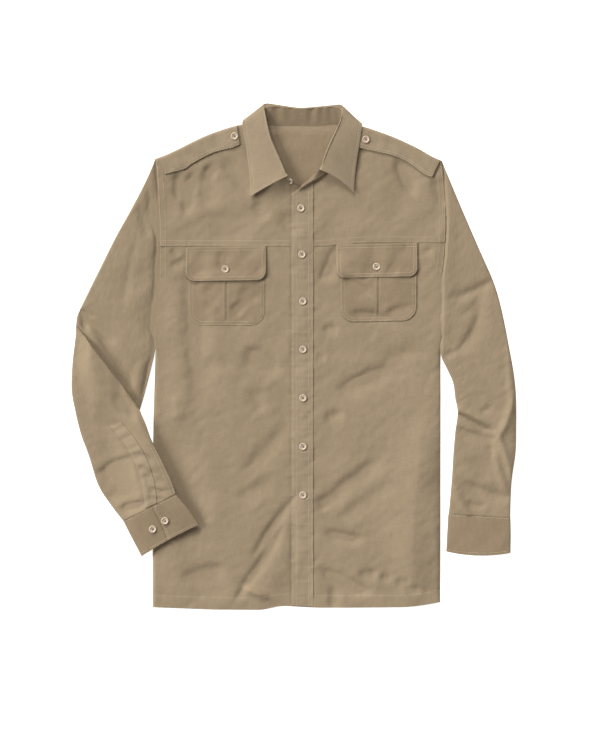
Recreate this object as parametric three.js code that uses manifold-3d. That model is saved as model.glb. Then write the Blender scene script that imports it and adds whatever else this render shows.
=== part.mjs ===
// A long-sleeved pilot shirt lying flat and face up: a buttoned front with a placket, a chest yoke,
// two flap pockets with a pleat, two shoulder straps, a folded collar on a stand, and two cuffs.
// The wearer's right sleeve is bent at the elbow, so that its forearm lies across the body.
// Units are millimetres and +Z is up. X runs towards the wearer's left, Y towards the collar,
// and the origin is on the surface under the shirt, below the middle of the body.
import * as THREE from "three";
import { mergeVertices } from "three/addons/utils/BufferGeometryUtils.js";
import Module from "manifold-3d";

const wasm = await Module();
wasm.setup();

// Cloth and how its layers stack.
const CLOTH = 1.2;
const SEAM_GAP = 0.3;
const FRONT_TOP = 5;
const EDGE_TOP = 2;
const EDGE_ROUND = 4;
const ARMHOLE_DIP = 1;
const SLEEVE_HEIGHT = 5;
const CUFF_HEIGHT = 5;
const COLLAR_LIFT = 1.7;
const STRAP_LIFT = 0.8;
const REST_GAP = 0.4;

// Where the seams and bands lie.
const PLACKET = { minX: -10.5, maxX: 25.5 };
const UNDERLAP_MAX_X = 22;
const BACK_YOKE_Y = 250;
const BACK_NECK_Y = 377;
const NECK = { halfWidth: 80, topY: 386 };

// Buttons.
const BUTTON = { radius: 6.1, thickness: 2.4, dish: 0.7, rim: 1.5, hole: 0.8, holeOffset: 1.5 };

const KHAKI = new THREE.MeshStandardMaterial({ color: 0xa38f75, roughness: 0.85, metalness: 0 });
const KHAKI_FIRM = new THREE.MeshStandardMaterial({ color: 0xa8947a, roughness: 0.85, metalness: 0 });
const IVORY = new THREE.MeshStandardMaterial({ color: 0xe0cfbb, roughness: 0.35, metalness: 0 });

// Side outline of the body, from the hem to the underarm.
const SIDES = [
  { y: -417, minX: -241.2, maxX: 235.7 },
  { y: -324, minX: -241.2, maxX: 236 },
  { y: -138, minX: -240.4, maxX: 236 },
  { y: 16, minX: -236.2, maxX: 236.7 },
  { y: 50, minX: -234.4, maxX: 237.5 },
  { y: 106, minX: -230.7, maxX: 238.3 },
  { y: 133, minX: -229, maxX: 238.7 },
];

// Hem line, from the wearer's right to the left.
const HEM = [
  { x: -242, y: -416.7 },
  { x: -129, y: -420.5 },
  { x: -66, y: -421 },
  { x: -25, y: -415 },
  { x: 36, y: -417.5 },
  { x: 169, y: -416.7 },
  { x: 202, y: -414 },
  { x: 237, y: -408 },
];

// Shoulder line, where the front turns over to the back, under the straps that wrap over it.
const SHOULDERS = [
  { x: -238, y: 327 },
  { x: -226, y: 331 },
  { x: -147, y: 367.8 },
  { x: -111, y: 379.8 },
  { x: -80, y: 386 },
  { x: 80, y: 386 },
  { x: 102, y: 381.8 },
  { x: 148.7, y: 366.9 },
  { x: 195.5, y: 346.2 },
  { x: 228, y: 328 },
  { x: 239, y: 324 },
];

// Front neckline, where the collar stand is sewn on.
const NECKLINE = [
  { x: -80, y: 386 },
  { x: -77.5, y: 366 },
  { x: -70, y: 340 },
  { x: -54, y: 307 },
  { x: -34, y: 284 },
  { x: -10.5, y: 264.5 },
  { x: -6.8, y: 265 },
  { x: -2.6, y: 271 },
  { x: 5.6, y: 279 },
  { x: 21, y: 287.5 },
  { x: 40, y: 299 },
  { x: 58, y: 317 },
  { x: 71, y: 343 },
  { x: 77.5, y: 366 },
  { x: 80, y: 386 },
];

// Seam between the chest yoke and the lower front.
const CHEST_SEAM = [
  { x: -245, y: 182 },
  { x: 26, y: 182 },
  { x: 118, y: 188 },
  { x: 245, y: 188.5 },
];

// Armholes: the seam runs from the underarm to the shoulder and bows by its middle.
const ARMHOLES = {
  right: { underX: -229.4, underY: 122.8, shoulderX: -236, shoulderY: 327.9, bow: 3 },
  left: { underX: 238.7, underY: 133, shoulderX: 237.8, shoulderY: 324.5, bow: 7.2 },
};

// Soft folds of the front: a line from (x1, y1) to (x2, y2), its half width, and its height.
const FRONT_FOLDS = [
  { x1: -14, y1: -240, x2: -100, y2: -385, width: 13, height: -1.5 },
  { x1: -40, y1: -262, x2: -120, y2: -396, width: 12, height: 1.3 },
  { x1: -196, y1: 120, x2: -205, y2: -60, width: 13, height: -1.2 },
  { x1: 34, y1: -228, x2: 78, y2: -262, width: 11, height: -1.1 },
  { x1: 44, y1: -350, x2: 108, y2: -392, width: 11, height: -1.3 },
  { x1: 62, y1: -338, x2: 128, y2: -372, width: 12, height: 1.1 },
  { x1: 36, y1: -82, x2: 90, y2: -62, width: 12, height: -0.9 },
  { x1: -160, y1: -296, x2: -60, y2: -330, width: 16, height: -1.1 },
];

// Folds of the two sleeves, in the same columns.
const SLEEVE_FOLDS = [
  { x1: -262, y1: 283, x2: -233, y2: 196, width: 8, height: -1.9 },
  { x1: -268, y1: 190, x2: -292, y2: 96, width: 12, height: -0.9 },
  { x1: -342, y1: 61, x2: -318, y2: 31, width: 8, height: -1.1 },
  { x1: -305, y1: -60, x2: -302, y2: -104, width: 10, height: -1.1 },
  { x1: -312, y1: -174, x2: -274, y2: -155, width: 9, height: -1 },
  { x1: 307, y1: 131, x2: 258, y2: 112, width: 9, height: -1.2 },
  { x1: 296, y1: 105, x2: 270, y2: 33, width: 10, height: -1.1 },
  { x1: 263, y1: -96, x2: 314, y2: -120, width: 7, height: -1.7 },
  { x1: 343, y1: 18, x2: 331, y2: -130, width: 9, height: 1.3 },
  { x1: 339, y1: -140, x2: 351, y2: -200, width: 7, height: -1.4 },
  { x1: 297, y1: -211, x2: 339, y2: -235, width: 11, height: -1 },
];

// Sleeve sections: the outer and inner edge of the flattened tube at each, and its forward bow.
const LEFT_SLEEVE = [
  { outerX: 238.2, outerY: 324.5, innerX: 239.2, innerY: 133, bow: 7.2 },
  { outerX: 268.9, outerY: 250.7, innerX: 240.1, innerY: 93, bow: 4 },
  { outerX: 295.5, outerY: 179.3, innerX: 239.8, innerY: 43, bow: 2 },
  { outerX: 326, outerY: 123.8, innerX: 239.3, innerY: 3, bow: 0 },
  { outerX: 337.6, outerY: 77.4, innerX: 247.3, innerY: -21.6, bow: 0 },
  { outerX: 351.1, outerY: 10, innerX: 257.1, innerY: -44.5, bow: 0 },
  { outerX: 358.6, outerY: -33.2, innerX: 260.6, innerY: -69.7, bow: 0 },
  { outerX: 361.9, outerY: -71.4, innerX: 262.8, innerY: -93, bow: 0 },
  { outerX: 362, outerY: -119.5, innerX: 260.6, innerY: -126.2, bow: 0 },
  { outerX: 360.9, outerY: -160.2, innerX: 257.3, innerY: -164.3, bow: 0 },
  { outerX: 354.1, outerY: -211, innerX: 254.8, innerY: -205.8, bow: 0 },
  { outerX: 351.9, outerY: -268.3, innerX: 249.8, innerY: -262, bow: 0 },
];
const LEFT_CUFF = [
  { outerX: 352.4, outerY: -268.9, innerX: 249, innerY: -262.6, bow: 0 },
  { outerX: 352.9, outerY: -298, innerX: 247.3, innerY: -293.5, bow: 3 },
  { outerX: 352.4, outerY: -326.7, innerX: 245.7, innerY: -324.2, bow: 5.5 },
];
const RIGHT_UPPER_ARM = [
  { outerX: -236.4, outerY: 327.9, innerX: -229.9, innerY: 122.8, bow: -3 },
  { outerX: -250.7, outerY: 288.8, innerX: -231.6, innerY: 106, bow: -1 },
  { outerX: -278.9, outerY: 239.9, innerX: -233.8, innerY: 83, bow: 0 },
  { outerX: -302.1, outerY: 198.2, innerX: -235.4, innerY: 49.8, bow: 0 },
  { outerX: -325.4, outerY: 151.6, innerX: -237.2, innerY: 16.6, bow: 0 },
  { outerX: -348.6, outerY: 104.9, innerX: -248.2, innerY: -28.2, bow: 0 },
  { outerX: -365.2, outerY: 69.7, innerX: -263.1, innerY: -83, bow: 0 },
  { outerX: -366, outerY: 58.1, innerX: -272.2, innerY: -102.9, bow: 0 },
];
const RIGHT_FOREARM = [
  { outerX: -366.9, outerY: 52, innerX: -263.9, innerY: -85.5, bow: 0 },
  { outerX: -370.3, outerY: 24.1, innerX: -252.3, innerY: -111.2, bow: 0 },
  { outerX: -374.7, outerY: -14.9, innerX: -243.4, innerY: -136.1, bow: 0 },
  { outerX: -375.8, outerY: -56.4, innerX: -233.2, innerY: -156.9, bow: 0 },
  { outerX: -369.4, outerY: -93, innerX: -224.1, innerY: -174.3, bow: 0 },
  { outerX: -358.6, outerY: -127.8, innerX: -217.5, innerY: -187.6, bow: 0 },
  { outerX: -345.3, outerY: -162.7, innerX: -210.8, innerY: -201.7, bow: 0 },
  { outerX: -329, outerY: -212.6, innerX: -205.8, innerY: -213.5, bow: 0 },
  { outerX: -307.9, outerY: -245.7, innerX: -203.4, innerY: -221.5, bow: 0 },
  { outerX: -287.7, outerY: -271.7, innerX: -201.7, innerY: -228, bow: 0 },
];
const RIGHT_CUFF = [
  { outerX: -287.4, outerY: -272.6, innerX: -200.9, innerY: -229, bow: 0 },
  { outerX: -272.5, outerY: -302, innerX: -180, innerY: -254, bow: 0 },
  { outerX: -257.5, outerY: -331, innerX: -161, innerY: -278.7, bow: 0 },
];

// Where the right cuff's upper end stops, as a share of the way from the outer to the inner edge.
const CUFF_OVERLAP = { atSeam: 0.57, atHem: 0.48, step: 1.1, run: 0.004 };

// Collar leaf sections, from the wearer's right point round the back to the left point: the fold,
// the free edge, and how fast the leaf drops from one to the other (1 is straight).
const COLLAR_LEAF = [
  { foldX: -17.6, foldY: 299.1, foldZ: 14, edgeX: -79.3, edgeY: 264.1, edgeZ: 6.7, drop: 1 },
  { foldX: -24, foldY: 314, foldZ: 16.5, edgeX: -79.7, edgeY: 288, edgeZ: 6.8, drop: 1 },
  { foldX: -33, foldY: 336, foldZ: 18, edgeX: -83, edgeY: 322, edgeZ: 7.4, drop: 1 },
  { foldX: -43, foldY: 359, foldZ: 18.5, edgeX: -87, edgeY: 350, edgeZ: 8.7, drop: 1 },
  { foldX: -49.5, foldY: 383, foldZ: 17.5, edgeX: -91, edgeY: 373, edgeZ: 9.2, drop: 1 },
  { foldX: -54, foldY: 404, foldZ: 14, edgeX: -92.5, edgeY: 387, edgeZ: 8.4, drop: 1 },
  { foldX: -57, foldY: 416.5, foldZ: 10, edgeX: -90, edgeY: 392.5, edgeZ: 3.5, drop: 1.2 },
  { foldX: -51, foldY: 418.5, foldZ: 7.6, edgeX: -84, edgeY: 388, edgeZ: 0.4, drop: 2 },
  { foldX: -42, foldY: 417.5, foldZ: 6.8, edgeX: -72, edgeY: 376, edgeZ: 0, drop: 2.8 },
  { foldX: -22, foldY: 414.5, foldZ: 6.4, edgeX: -38, edgeY: 368, edgeZ: 0, drop: 3.4 },
  { foldX: 4, foldY: 411.5, foldZ: 6.2, edgeX: 4, edgeY: 365, edgeZ: 0, drop: 3.4 },
  { foldX: 34, foldY: 413.5, foldZ: 6.4, edgeX: 48, edgeY: 367, edgeZ: 0, drop: 3.4 },
  { foldX: 60, foldY: 416, foldZ: 6.8, edgeX: 85, edgeY: 373, edgeZ: 0, drop: 2.8 },
  { foldX: 70, foldY: 416.5, foldZ: 7.6, edgeX: 98, edgeY: 384.5, edgeZ: 0.4, drop: 2 },
  { foldX: 75.5, foldY: 412, foldZ: 10, edgeX: 105, edgeY: 386.5, edgeZ: 4, drop: 1.2 },
  { foldX: 72.5, foldY: 401, foldZ: 14, edgeX: 106.5, edgeY: 380, edgeZ: 10.6, drop: 1 },
  { foldX: 68, foldY: 386, foldZ: 17.5, edgeX: 104.5, edgeY: 367, edgeZ: 11, drop: 1 },
  { foldX: 61, foldY: 371, foldZ: 18.5, edgeX: 102, edgeY: 349, edgeZ: 10.6, drop: 1 },
  { foldX: 51, foldY: 350, foldZ: 18, edgeX: 98, edgeY: 325, edgeZ: 8, drop: 1 },
  { foldX: 42, foldY: 330, foldZ: 16.5, edgeX: 95, edgeY: 300, edgeZ: 6.8, drop: 1 },
  { foldX: 34.9, foldY: 311.3, foldZ: 14, edgeX: 93, edgeY: 270.9, edgeZ: 6.7, drop: 1 },
];

// Collar stand sections, in the same order: its seam to the neckline and its top, under the fold.
const COLLAR_STAND = [
  { seamX: -5, seamY: 271.5, seamZ: 5.5, topX: 1, topY: 281, topZ: 6 },
  { seamX: -22, seamY: 277, seamZ: 5.4, topX: -14, topY: 294.5, topZ: 8.4 },
  { seamX: -54, seamY: 308, seamZ: 5.6, topX: -36, topY: 326, topZ: 11.2 },
  { seamX: -72, seamY: 345, seamZ: 6.6, topX: -49.5, topY: 362, topZ: 11.8 },
  { seamX: -78.6, seamY: 368, seamZ: 7.4, topX: -55, topY: 391, topZ: 11 },
  { seamX: -79.5, seamY: 380, seamZ: 7.2, topX: -57, topY: 402, topZ: 9.8 },
  { seamX: -75, seamY: 384, seamZ: 5.4, topX: -54.5, topY: 410, topZ: 9.2 },
  { seamX: -62, seamY: 382.6, seamZ: 3.6, topX: -45, topY: 414, topZ: 9 },
  { seamX: -32, seamY: 378, seamZ: 2.9, topX: -24, topY: 412.6, topZ: 8.8 },
  { seamX: 3, seamY: 378, seamZ: 2.9, topX: 3, topY: 410, topZ: 8.6 },
  { seamX: 38, seamY: 378, seamZ: 2.9, topX: 34, topY: 411.8, topZ: 8.8 },
  { seamX: 64, seamY: 382.6, seamZ: 3.6, topX: 60, topY: 413.2, topZ: 9 },
  { seamX: 76, seamY: 383.5, seamZ: 5.4, topX: 70, topY: 409, topZ: 9.2 },
  { seamX: 79.5, seamY: 379, seamZ: 7.2, topX: 72, topY: 399, topZ: 9.8 },
  { seamX: 78.8, seamY: 368, seamZ: 7.4, topX: 70, topY: 386, topZ: 11 },
  { seamX: 73, seamY: 347, seamZ: 6.8, topX: 60.5, topY: 361, topZ: 11.8 },
  { seamX: 58, seamY: 317, seamZ: 6.4, topX: 49, topY: 335, topZ: 11.6 },
  { seamX: 40, seamY: 299.5, seamZ: 6.6, topX: 38.5, topY: 319, topZ: 11.2 },
  { seamX: 21, seamY: 288.5, seamZ: 7.2, topX: 27, topY: 304, topZ: 9.6 },
  { seamX: 1, seamY: 275.5, seamZ: 7.4, topX: 8, topY: 285, topZ: 8.2 },
];

// Front buttons, from the top down.
const FRONT_BUTTONS = [
  { x: 5, y: 244.9 },
  { x: 6.6, y: 168.3 },
  { x: 8, y: 90.5 },
  { x: 8.3, y: 10.8 },
  { x: 8.3, y: -69.7 },
  { x: 8.3, y: -150.2 },
  { x: 8.3, y: -230.7 },
];

// Shoulder straps: the lower edge, from the sleeve end to the collar end.
const RIGHT_STRAP = [
  { x: -220, y: 301, topX: -231 },
  { x: -204, y: 305, topX: -213 },
  { x: -186.6, y: 310, topX: -194 },
  { x: -175.8, y: 318, topX: -182 },
  { x: -147, y: 333.5, topX: -156 },
  { x: -129, y: 339.8, topX: -137 },
  { x: -109.2, y: 344.3, topX: -116 },
  { x: -96, y: 350, topX: -101 },
];
const LEFT_STRAP = [
  { x: 222.6, y: 296, topX: 236 },
  { x: 210, y: 300.3, topX: 221 },
  { x: 193.7, y: 312.5, topX: 205 },
  { x: 177.6, y: 323.5, topX: 188 },
  { x: 157.7, y: 331.7, topX: 168 },
  { x: 130.8, y: 338, topX: 141 },
  { x: 112, y: 342, topX: 121 },
  { x: 96, y: 346, topX: 103 },
];

// Chest pockets, their flaps, and how much each rises towards the wearer's left.
const POCKETS = {
  right: { x: -118.5, width: 127, topY: 176, bottomY: 50.5, corner: 24, tilt: 0 },
  left: { x: 133.5, width: 126.5, topY: 181, bottomY: 57.3, corner: 24, tilt: 0.02 },
};
const FLAPS = {
  right: { x: -119.3, width: 133.6, topY: 181.4, bottomY: 123.5, corner: 15, tilt: 0 },
  left: { x: 131, width: 135, topY: 186.6, bottomY: 130, corner: 15, tilt: 0.02 },
};
const PLEAT = { halfWidth: 1.2, depth: 0.7 };

// Sleeve placket on the folded forearm: its middle line, and its width.
const SLEEVE_PLACKET = { x1: -302, y1: -114, x2: -243, y2: -247, width: 21 };

const clamp01 = (t) => Math.min(1, Math.max(0, t));

function smoothstep(from, to, value) {
  const t = clamp01((value - from) / (to - from));
  return t * t * (3 - 2 * t);
}

// Reads a column of a table at a value of another column, in straight lines between its rows.
function lookup(table, by, at, column) {
  let k = 0;
  while (k < table.length - 2 && at > table[k + 1][by]) k++;
  const a = table[k];
  const b = table[k + 1];
  const t = clamp01((at - a[by]) / (b[by] - a[by]));
  return a[column] + t * (b[column] - a[column]);
}

// Reads every column of a table of sections at a share t of the way along it, as a smooth curve.
function sectionAt(table, t) {
  const place = t * (table.length - 1);
  const k = Math.min(table.length - 2, Math.floor(place));
  const local = place - k;
  const row = (i) => table[Math.min(table.length - 1, Math.max(0, i))];
  const [a, b, c, d] = [row(k - 1), row(k), row(k + 1), row(k + 2)];
  const found = {};
  for (const column of Object.keys(b)) {
    const slopeB = (c[column] - a[column]) / 2;
    const slopeC = (d[column] - b[column]) / 2;
    const gain = c[column] - b[column];
    found[column] =
      b[column] +
      local * slopeB +
      local ** 2 * (3 * gain - 2 * slopeB - slopeC) +
      local ** 3 * (slopeB + slopeC - 2 * gain);
  }
  return found;
}

// Height of a set of folds at (x, y): each is a bell across its line that fades towards both ends.
function foldHeight(folds, x, y) {
  let height = 0;
  for (const fold of folds) {
    const dx = fold.x2 - fold.x1;
    const dy = fold.y2 - fold.y1;
    const length = Math.hypot(dx, dy);
    const along = ((x - fold.x1) * dx + (y - fold.y1) * dy) / length ** 2;
    const across = ((x - fold.x1) * dy - (y - fold.y1) * dx) / length;
    if (along <= 0 || along >= 1) continue;
    height += fold.height * Math.sin(Math.PI * along) * Math.exp(-((across / fold.width) ** 2));
  }
  return height;
}

// Plan outline of the body.
function armholeX(armhole, y) {
  const t = clamp01((y - armhole.underY) / (armhole.shoulderY - armhole.underY));
  const straight = armhole.underX + t * (armhole.shoulderX - armhole.underX);
  return straight + armhole.bow * 4 * t * (1 - t);
}

function sideX(side, y) {
  const armhole = ARMHOLES[side];
  if (y > armhole.underY) return armholeX(armhole, y);
  return lookup(SIDES, "y", y, side === "right" ? "minX" : "maxX");
}

const hemY = (x) => lookup(HEM, "x", x, "y");
const shoulderY = (x) => lookup(SHOULDERS, "x", x, "y");
const chestSeamY = (x) => lookup(CHEST_SEAM, "x", x, "y");

function frontTopY(x) {
  if (Math.abs(x) >= NECK.halfWidth) return shoulderY(x);
  return lookup(NECKLINE, "x", x, "y");
}

function backTopY(x) {
  const rise = smoothstep(50, NECK.halfWidth, Math.abs(x));
  if (Math.abs(x) >= NECK.halfWidth) return shoulderY(x);
  return BACK_NECK_Y + rise * (NECK.topY - BACK_NECK_Y);
}

// The back and the front rise a little where the collar is folded under them.
function collarLift(x, y) {
  return COLLAR_LIFT * smoothstep(338, 356, y) * (1 - smoothstep(104, 128, Math.abs(x)));
}

// How far the front has dropped at a distance from an edge that rounds over.
function roundedDrop(distance, depth) {
  const t = clamp01(1 - distance / EDGE_ROUND);
  return depth * (1 - Math.sqrt(1 - t * t));
}

// Outer face of the front at (x, y), before folds.
function frontBase(x, y) {
  const side = x < 0 ? "right" : "left";
  const atArmhole = smoothstep(-8, 8, y - ARMHOLES[side].underY);
  const full = FRONT_TOP - EDGE_TOP;
  const sideDepth = full + (ARMHOLE_DIP - full) * atArmhole;
  const sideDrop = roundedDrop(Math.abs(sideX(side, y) - x), sideDepth);
  const nearNeck = smoothstep(NECK.halfWidth - 4, NECK.halfWidth + 2, Math.abs(x));
  const shoulderDrop = roundedDrop(shoulderY(x) - y, full) * nearNeck;
  return FRONT_TOP + collarLift(x, y) - Math.max(sideDrop, shoulderDrop);
}

const frontHeight = (x, y) => frontBase(x, y) + foldHeight(FRONT_FOLDS, x, y);

// Unit normal of a height function at (x, y).
function normalOf(height, x, y) {
  const step = 0.05;
  const slopeX = (height(x + step, y) - height(x - step, y)) / (2 * step);
  const slopeY = (height(x, y + step) - height(x, y - step)) / (2 * step);
  return new THREE.Vector3(-slopeX, -slopeY, 1).normalize();
}

// A geometry from vertices and triangles.
function geometryOf(points, triangles) {
  const geometry = new THREE.BufferGeometry();
  const flat = points.flatMap((p) => [p.x, p.y, p.z]);
  geometry.setAttribute("position", new THREE.Float32BufferAttribute(flat, 3));
  geometry.setIndex(triangles);
  geometry.computeVertexNormals();
  return geometry;
}

// Normals of a grid of points, from the differences between neighbours.
function gridNormals(grid) {
  const rows = grid.length;
  const columns = grid[0].length;
  return grid.map((line, j) =>
    line.map((_, i) => {
      const along = new THREE.Vector3().subVectors(
        grid[j][Math.min(columns - 1, i + 1)],
        grid[j][Math.max(0, i - 1)],
      );
      const up = new THREE.Vector3().subVectors(
        grid[Math.min(rows - 1, j + 1)][i],
        grid[Math.max(0, j - 1)][i],
      );
      return along.cross(up).normalize();
    }),
  );
}

// Two grids of points with the same rows and columns become one closed solid.
function solidBetween(outer, inner) {
  const rows = outer.length;
  const columns = outer[0].length;
  const points = [...outer.flat(), ...inner.flat()];
  const below = rows * columns;
  const at = (j, i) => j * columns + i;
  const triangles = [];
  const quad = (a, b, c, d) => triangles.push(a, b, c, a, c, d);
  for (let j = 0; j < rows - 1; j++) {
    for (let i = 0; i < columns - 1; i++) {
      quad(at(j, i), at(j, i + 1), at(j + 1, i + 1), at(j + 1, i));
      quad(
        below + at(j, i),
        below + at(j + 1, i),
        below + at(j + 1, i + 1),
        below + at(j, i + 1),
      );
    }
  }
  const rim = [];
  for (let i = 0; i < columns - 1; i++) rim.push(at(0, i));
  for (let j = 0; j < rows - 1; j++) rim.push(at(j, columns - 1));
  for (let i = columns - 1; i > 0; i--) rim.push(at(rows - 1, i));
  for (let j = rows - 1; j > 0; j--) rim.push(at(j, 0));
  rim.forEach((a, k) => {
    const b = rim[(k + 1) % rim.length];
    quad(a, below + a, below + b, b);
  });
  return geometryOf(points, triangles);
}

// A cloth wall whose outer face is the grid.
function clothWall(grid, thickness = CLOTH) {
  const normals = gridNormals(grid);
  const inner = grid.map((line, j) =>
    line.map((p, i) => p.clone().addScaledVector(normals[j][i], -thickness)),
  );
  return solidBetween(grid, inner);
}

// A piece of cloth that lies on the front: plan points moved out from the front's own points.
function layOnFront(plan, lift, thickness = CLOTH, relief = () => 0) {
  const moved = (extra) =>
    plan.map((line) =>
      line.map(([x, y]) => {
        const normal = normalOf(frontHeight, x, y);
        const out = lift + extra + (extra > 0 ? relief(x, y) : 0);
        return new THREE.Vector3(x, y, frontHeight(x, y)).addScaledVector(normal, out);
      }),
    );
  return solidBetween(moved(thickness), moved(0));
}

// Even steps from one value to another, both included.
function steps(from, to, count) {
  return Array.from({ length: count + 1 }, (_, i) => from + ((to - from) * i) / count);
}

// Distances from a rounded edge: close together in the round, then even.
function stepsFromEdge(reach, count) {
  return [0, 0.15, 0.5, 1].map((t) => t * EDGE_ROUND).concat(steps(EDGE_ROUND, reach, count).slice(1));
}

// Shares of the way up a panel, with one at the underarm so that its corner is kept.
function rowShares(side, bottomY, topY, below, above) {
  const x = sideX(side, ARMHOLES[side].underY);
  const corner = (ARMHOLES[side].underY - bottomY(x)) / (topY(x) - bottomY(x));
  if (corner <= 0) return steps(0, 1, below + above);
  return [...steps(0, corner, below), ...steps(corner, 1, above).slice(1)];
}

// A front panel between two height lines, from an inner edge to the side seam.
function frontPanel(side, innerX, bottomY, topY, rows, columnCount, roundedTop) {
  const turn = side === "right" ? -1 : 1;
  const reach = Math.abs(sideX(side, 150) - innerX);
  const shares = stepsFromEdge(reach, columnCount).map((d) => 1 - d / reach);
  if (side === "left") shares.reverse();
  const steepX = Math.abs(NECK.halfWidth - turn * innerX) / reach;
  const placed = [...shares, steepX - 0.004, steepX - 0.02, steepX - 0.045].filter(
    (t, k) => k < shares.length || roundedTop,
  );
  placed.sort((a, b) => (side === "right" ? b - a : a - b));
  const base = rowShares(side, bottomY, topY, rows.below, rows.above);
  const heights = roundedTop ? [...base, 0.975, 0.985, 0.993].sort((a, b) => a - b) : base;
  return heights.map((v) =>
    placed.map((u) => {
      let y = topY(innerX);
      let x = innerX;
      for (let pass = 0; pass < 4; pass++) {
        x = innerX + u * (sideX(side, y) - innerX);
        y = bottomY(x) + v * (topY(x) - bottomY(x));
      }
      return new THREE.Vector3(x, y, frontHeight(x, y));
    }),
  );
}

// A back panel, flat on the surface, between two height lines.
function backPanel(bottomY, topY, shares, columns) {
  const grid = shares.map((v) =>
    columns.map((u) => {
      let y = (bottomY(0) + topY(0)) / 2;
      let x = 0;
      for (let pass = 0; pass < 4; pass++) {
        x = u < 0 ? -u * sideX("right", y) : u * sideX("left", y);
        y = bottomY(x) + v * (topY(x) - bottomY(x));
      }
      return new THREE.Vector3(x, y, CLOTH + collarLift(x, y));
    }),
  );
  const under = grid.map((line) =>
    line.map((p) => new THREE.Vector3(p.x, p.y, p.z - CLOTH)),
  );
  return solidBetween(grid, under);
}

// Places across a flattened tube, closer together at its two rounded edges.
function acrossShares(count, extra = []) {
  const shares = steps(0, 1, count).map((t) => 0.5 - 0.5 * Math.cos(Math.PI * t));
  return [...shares, ...extra].sort((a, b) => a - b);
}

// One ring of a flattened tube: over the top from the outer edge to the inner, and back below.
function flatRing(section, shares, options, inset) {
  const { height, restsAt, relief } = options;
  const { outerX, outerY, innerX, innerY, bow } = section;
  const width = Math.hypot(innerX - outerX, innerY - outerY);
  const ex = (innerX - outerX) / width;
  const ey = (innerY - outerY) / width;
  const turn = options.turn;
  const point = (share, top) => {
    const s = inset / width + share * (1 - (2 * inset) / width);
    const push = bow * 4 * s * (1 - s);
    const x = outerX + ex * s * width + turn * ey * push;
    const y = outerY + ey * s * width - turn * ex * push;
    const off = Math.abs(2 * share - 1);
    const power = top ? 5 : 12;
    const swell = (1 - off ** power) ** (1 / power);
    const half = height / 2 - inset;
    const raised = top ? relief(x, y, s) * swell : 0;
    return new THREE.Vector3(
      x,
      y,
      restsAt(x, y) + height / 2 + (top ? 1 : -1) * half * swell + raised,
    );
  };
  const over = shares.map((share) => point(share, true));
  const under = shares.slice(1, -1).map((share) => point(share, false));
  return [...over, ...under.reverse()];
}

// A flattened cloth tube through rings. A closed end has a folded edge, an open one shows the wall.
function flatTube(sections, options) {
  const { count, shares, closedStart = false, closedEnd = false } = options;
  const places = steps(0, 1, count);
  const inwards = (t) => {
    const low = closedStart ? 0.02 : 0;
    const high = closedEnd ? 0.98 : 1;
    return low + t * (high - low);
  };
  const ringsAt = (map, inset) =>
    places.map((t) => {
      const at = map(t);
      return flatRing(sectionAt(sections, at), shares(at), options, inset);
    });
  const outer = ringsAt((t) => t, 0);
  const inner = ringsAt(inwards, CLOTH);
  const size = outer[0].length;
  const points = [...outer.flat(), ...inner.flat()];
  const within = outer.length * size;
  const triangles = [];
  const quad = (a, b, c, d) => triangles.push(a, b, c, a, c, d);
  const at = (j, k) => j * size + (k % size);
  for (let j = 0; j < outer.length - 1; j++) {
    for (let k = 0; k < size; k++) {
      quad(at(j, k), at(j + 1, k), at(j + 1, k + 1), at(j, k + 1));
      quad(
        within + at(j, k),
        within + at(j, k + 1),
        within + at(j + 1, k + 1),
        within + at(j + 1, k),
      );
    }
  }
  const half = (size + 2) / 2;
  const finish = (j, closed, flip) => {
    const put = (a, b, c, d) => (flip ? quad(d, c, b, a) : quad(a, b, c, d));
    if (!closed) {
      for (let k = 0; k < size; k++) {
        put(at(j, k), at(j, k + 1), within + at(j, k + 1), within + at(j, k));
      }
      return;
    }
    for (let k = 0; k < half - 1; k++) {
      const low = (i) => (size - i) % size;
      put(at(j, k), at(j, k + 1), at(j, low(k + 1)), at(j, low(k)));
      put(
        within + at(j, k),
        within + at(j, low(k)),
        within + at(j, low(k + 1)),
        within + at(j, k + 1),
      );
    }
  };
  finish(0, closedStart, false);
  finish(outer.length - 1, closedEnd, true);
  const geometry = geometryOf(points, triangles);
  if (options.turn < 0) flipFaces(geometry);
  return geometry;
}

function flipFaces(geometry) {
  const index = geometry.getIndex().array;
  for (let k = 0; k < index.length; k += 3) [index[k + 1], index[k + 2]] = [index[k + 2], index[k + 1]];
  geometry.computeVertexNormals();
}

// Closed geometry to a manifold solid and back, for joins and cuts.
function toSolid(geometry) {
  const bare = new THREE.BufferGeometry();
  bare.setAttribute("position", geometry.getAttribute("position"));
  bare.setIndex(geometry.getIndex());
  const merged = mergeVertices(bare, 1e-4);
  return new wasm.Manifold(
    new wasm.Mesh({
      numProp: 3,
      vertProperties: merged.getAttribute("position").array,
      triVerts: new Uint32Array(merged.getIndex().array),
    }),
  );
}

function toGeometry(solid) {
  const mesh = solid.getMesh();
  const geometry = new THREE.BufferGeometry();
  geometry.setAttribute("position", new THREE.Float32BufferAttribute(mesh.vertProperties, 3));
  geometry.setIndex(Array.from(mesh.triVerts));
  geometry.computeVertexNormals();
  return geometry;
}

// The shirt.
const shirt = new THREE.Group();
shirt.name = "pilot_shirt";

function add(name, geometry, material = KHAKI) {
  const mesh = new THREE.Mesh(geometry, material);
  mesh.name = name;
  shirt.add(mesh);
  return mesh;
}

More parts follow.
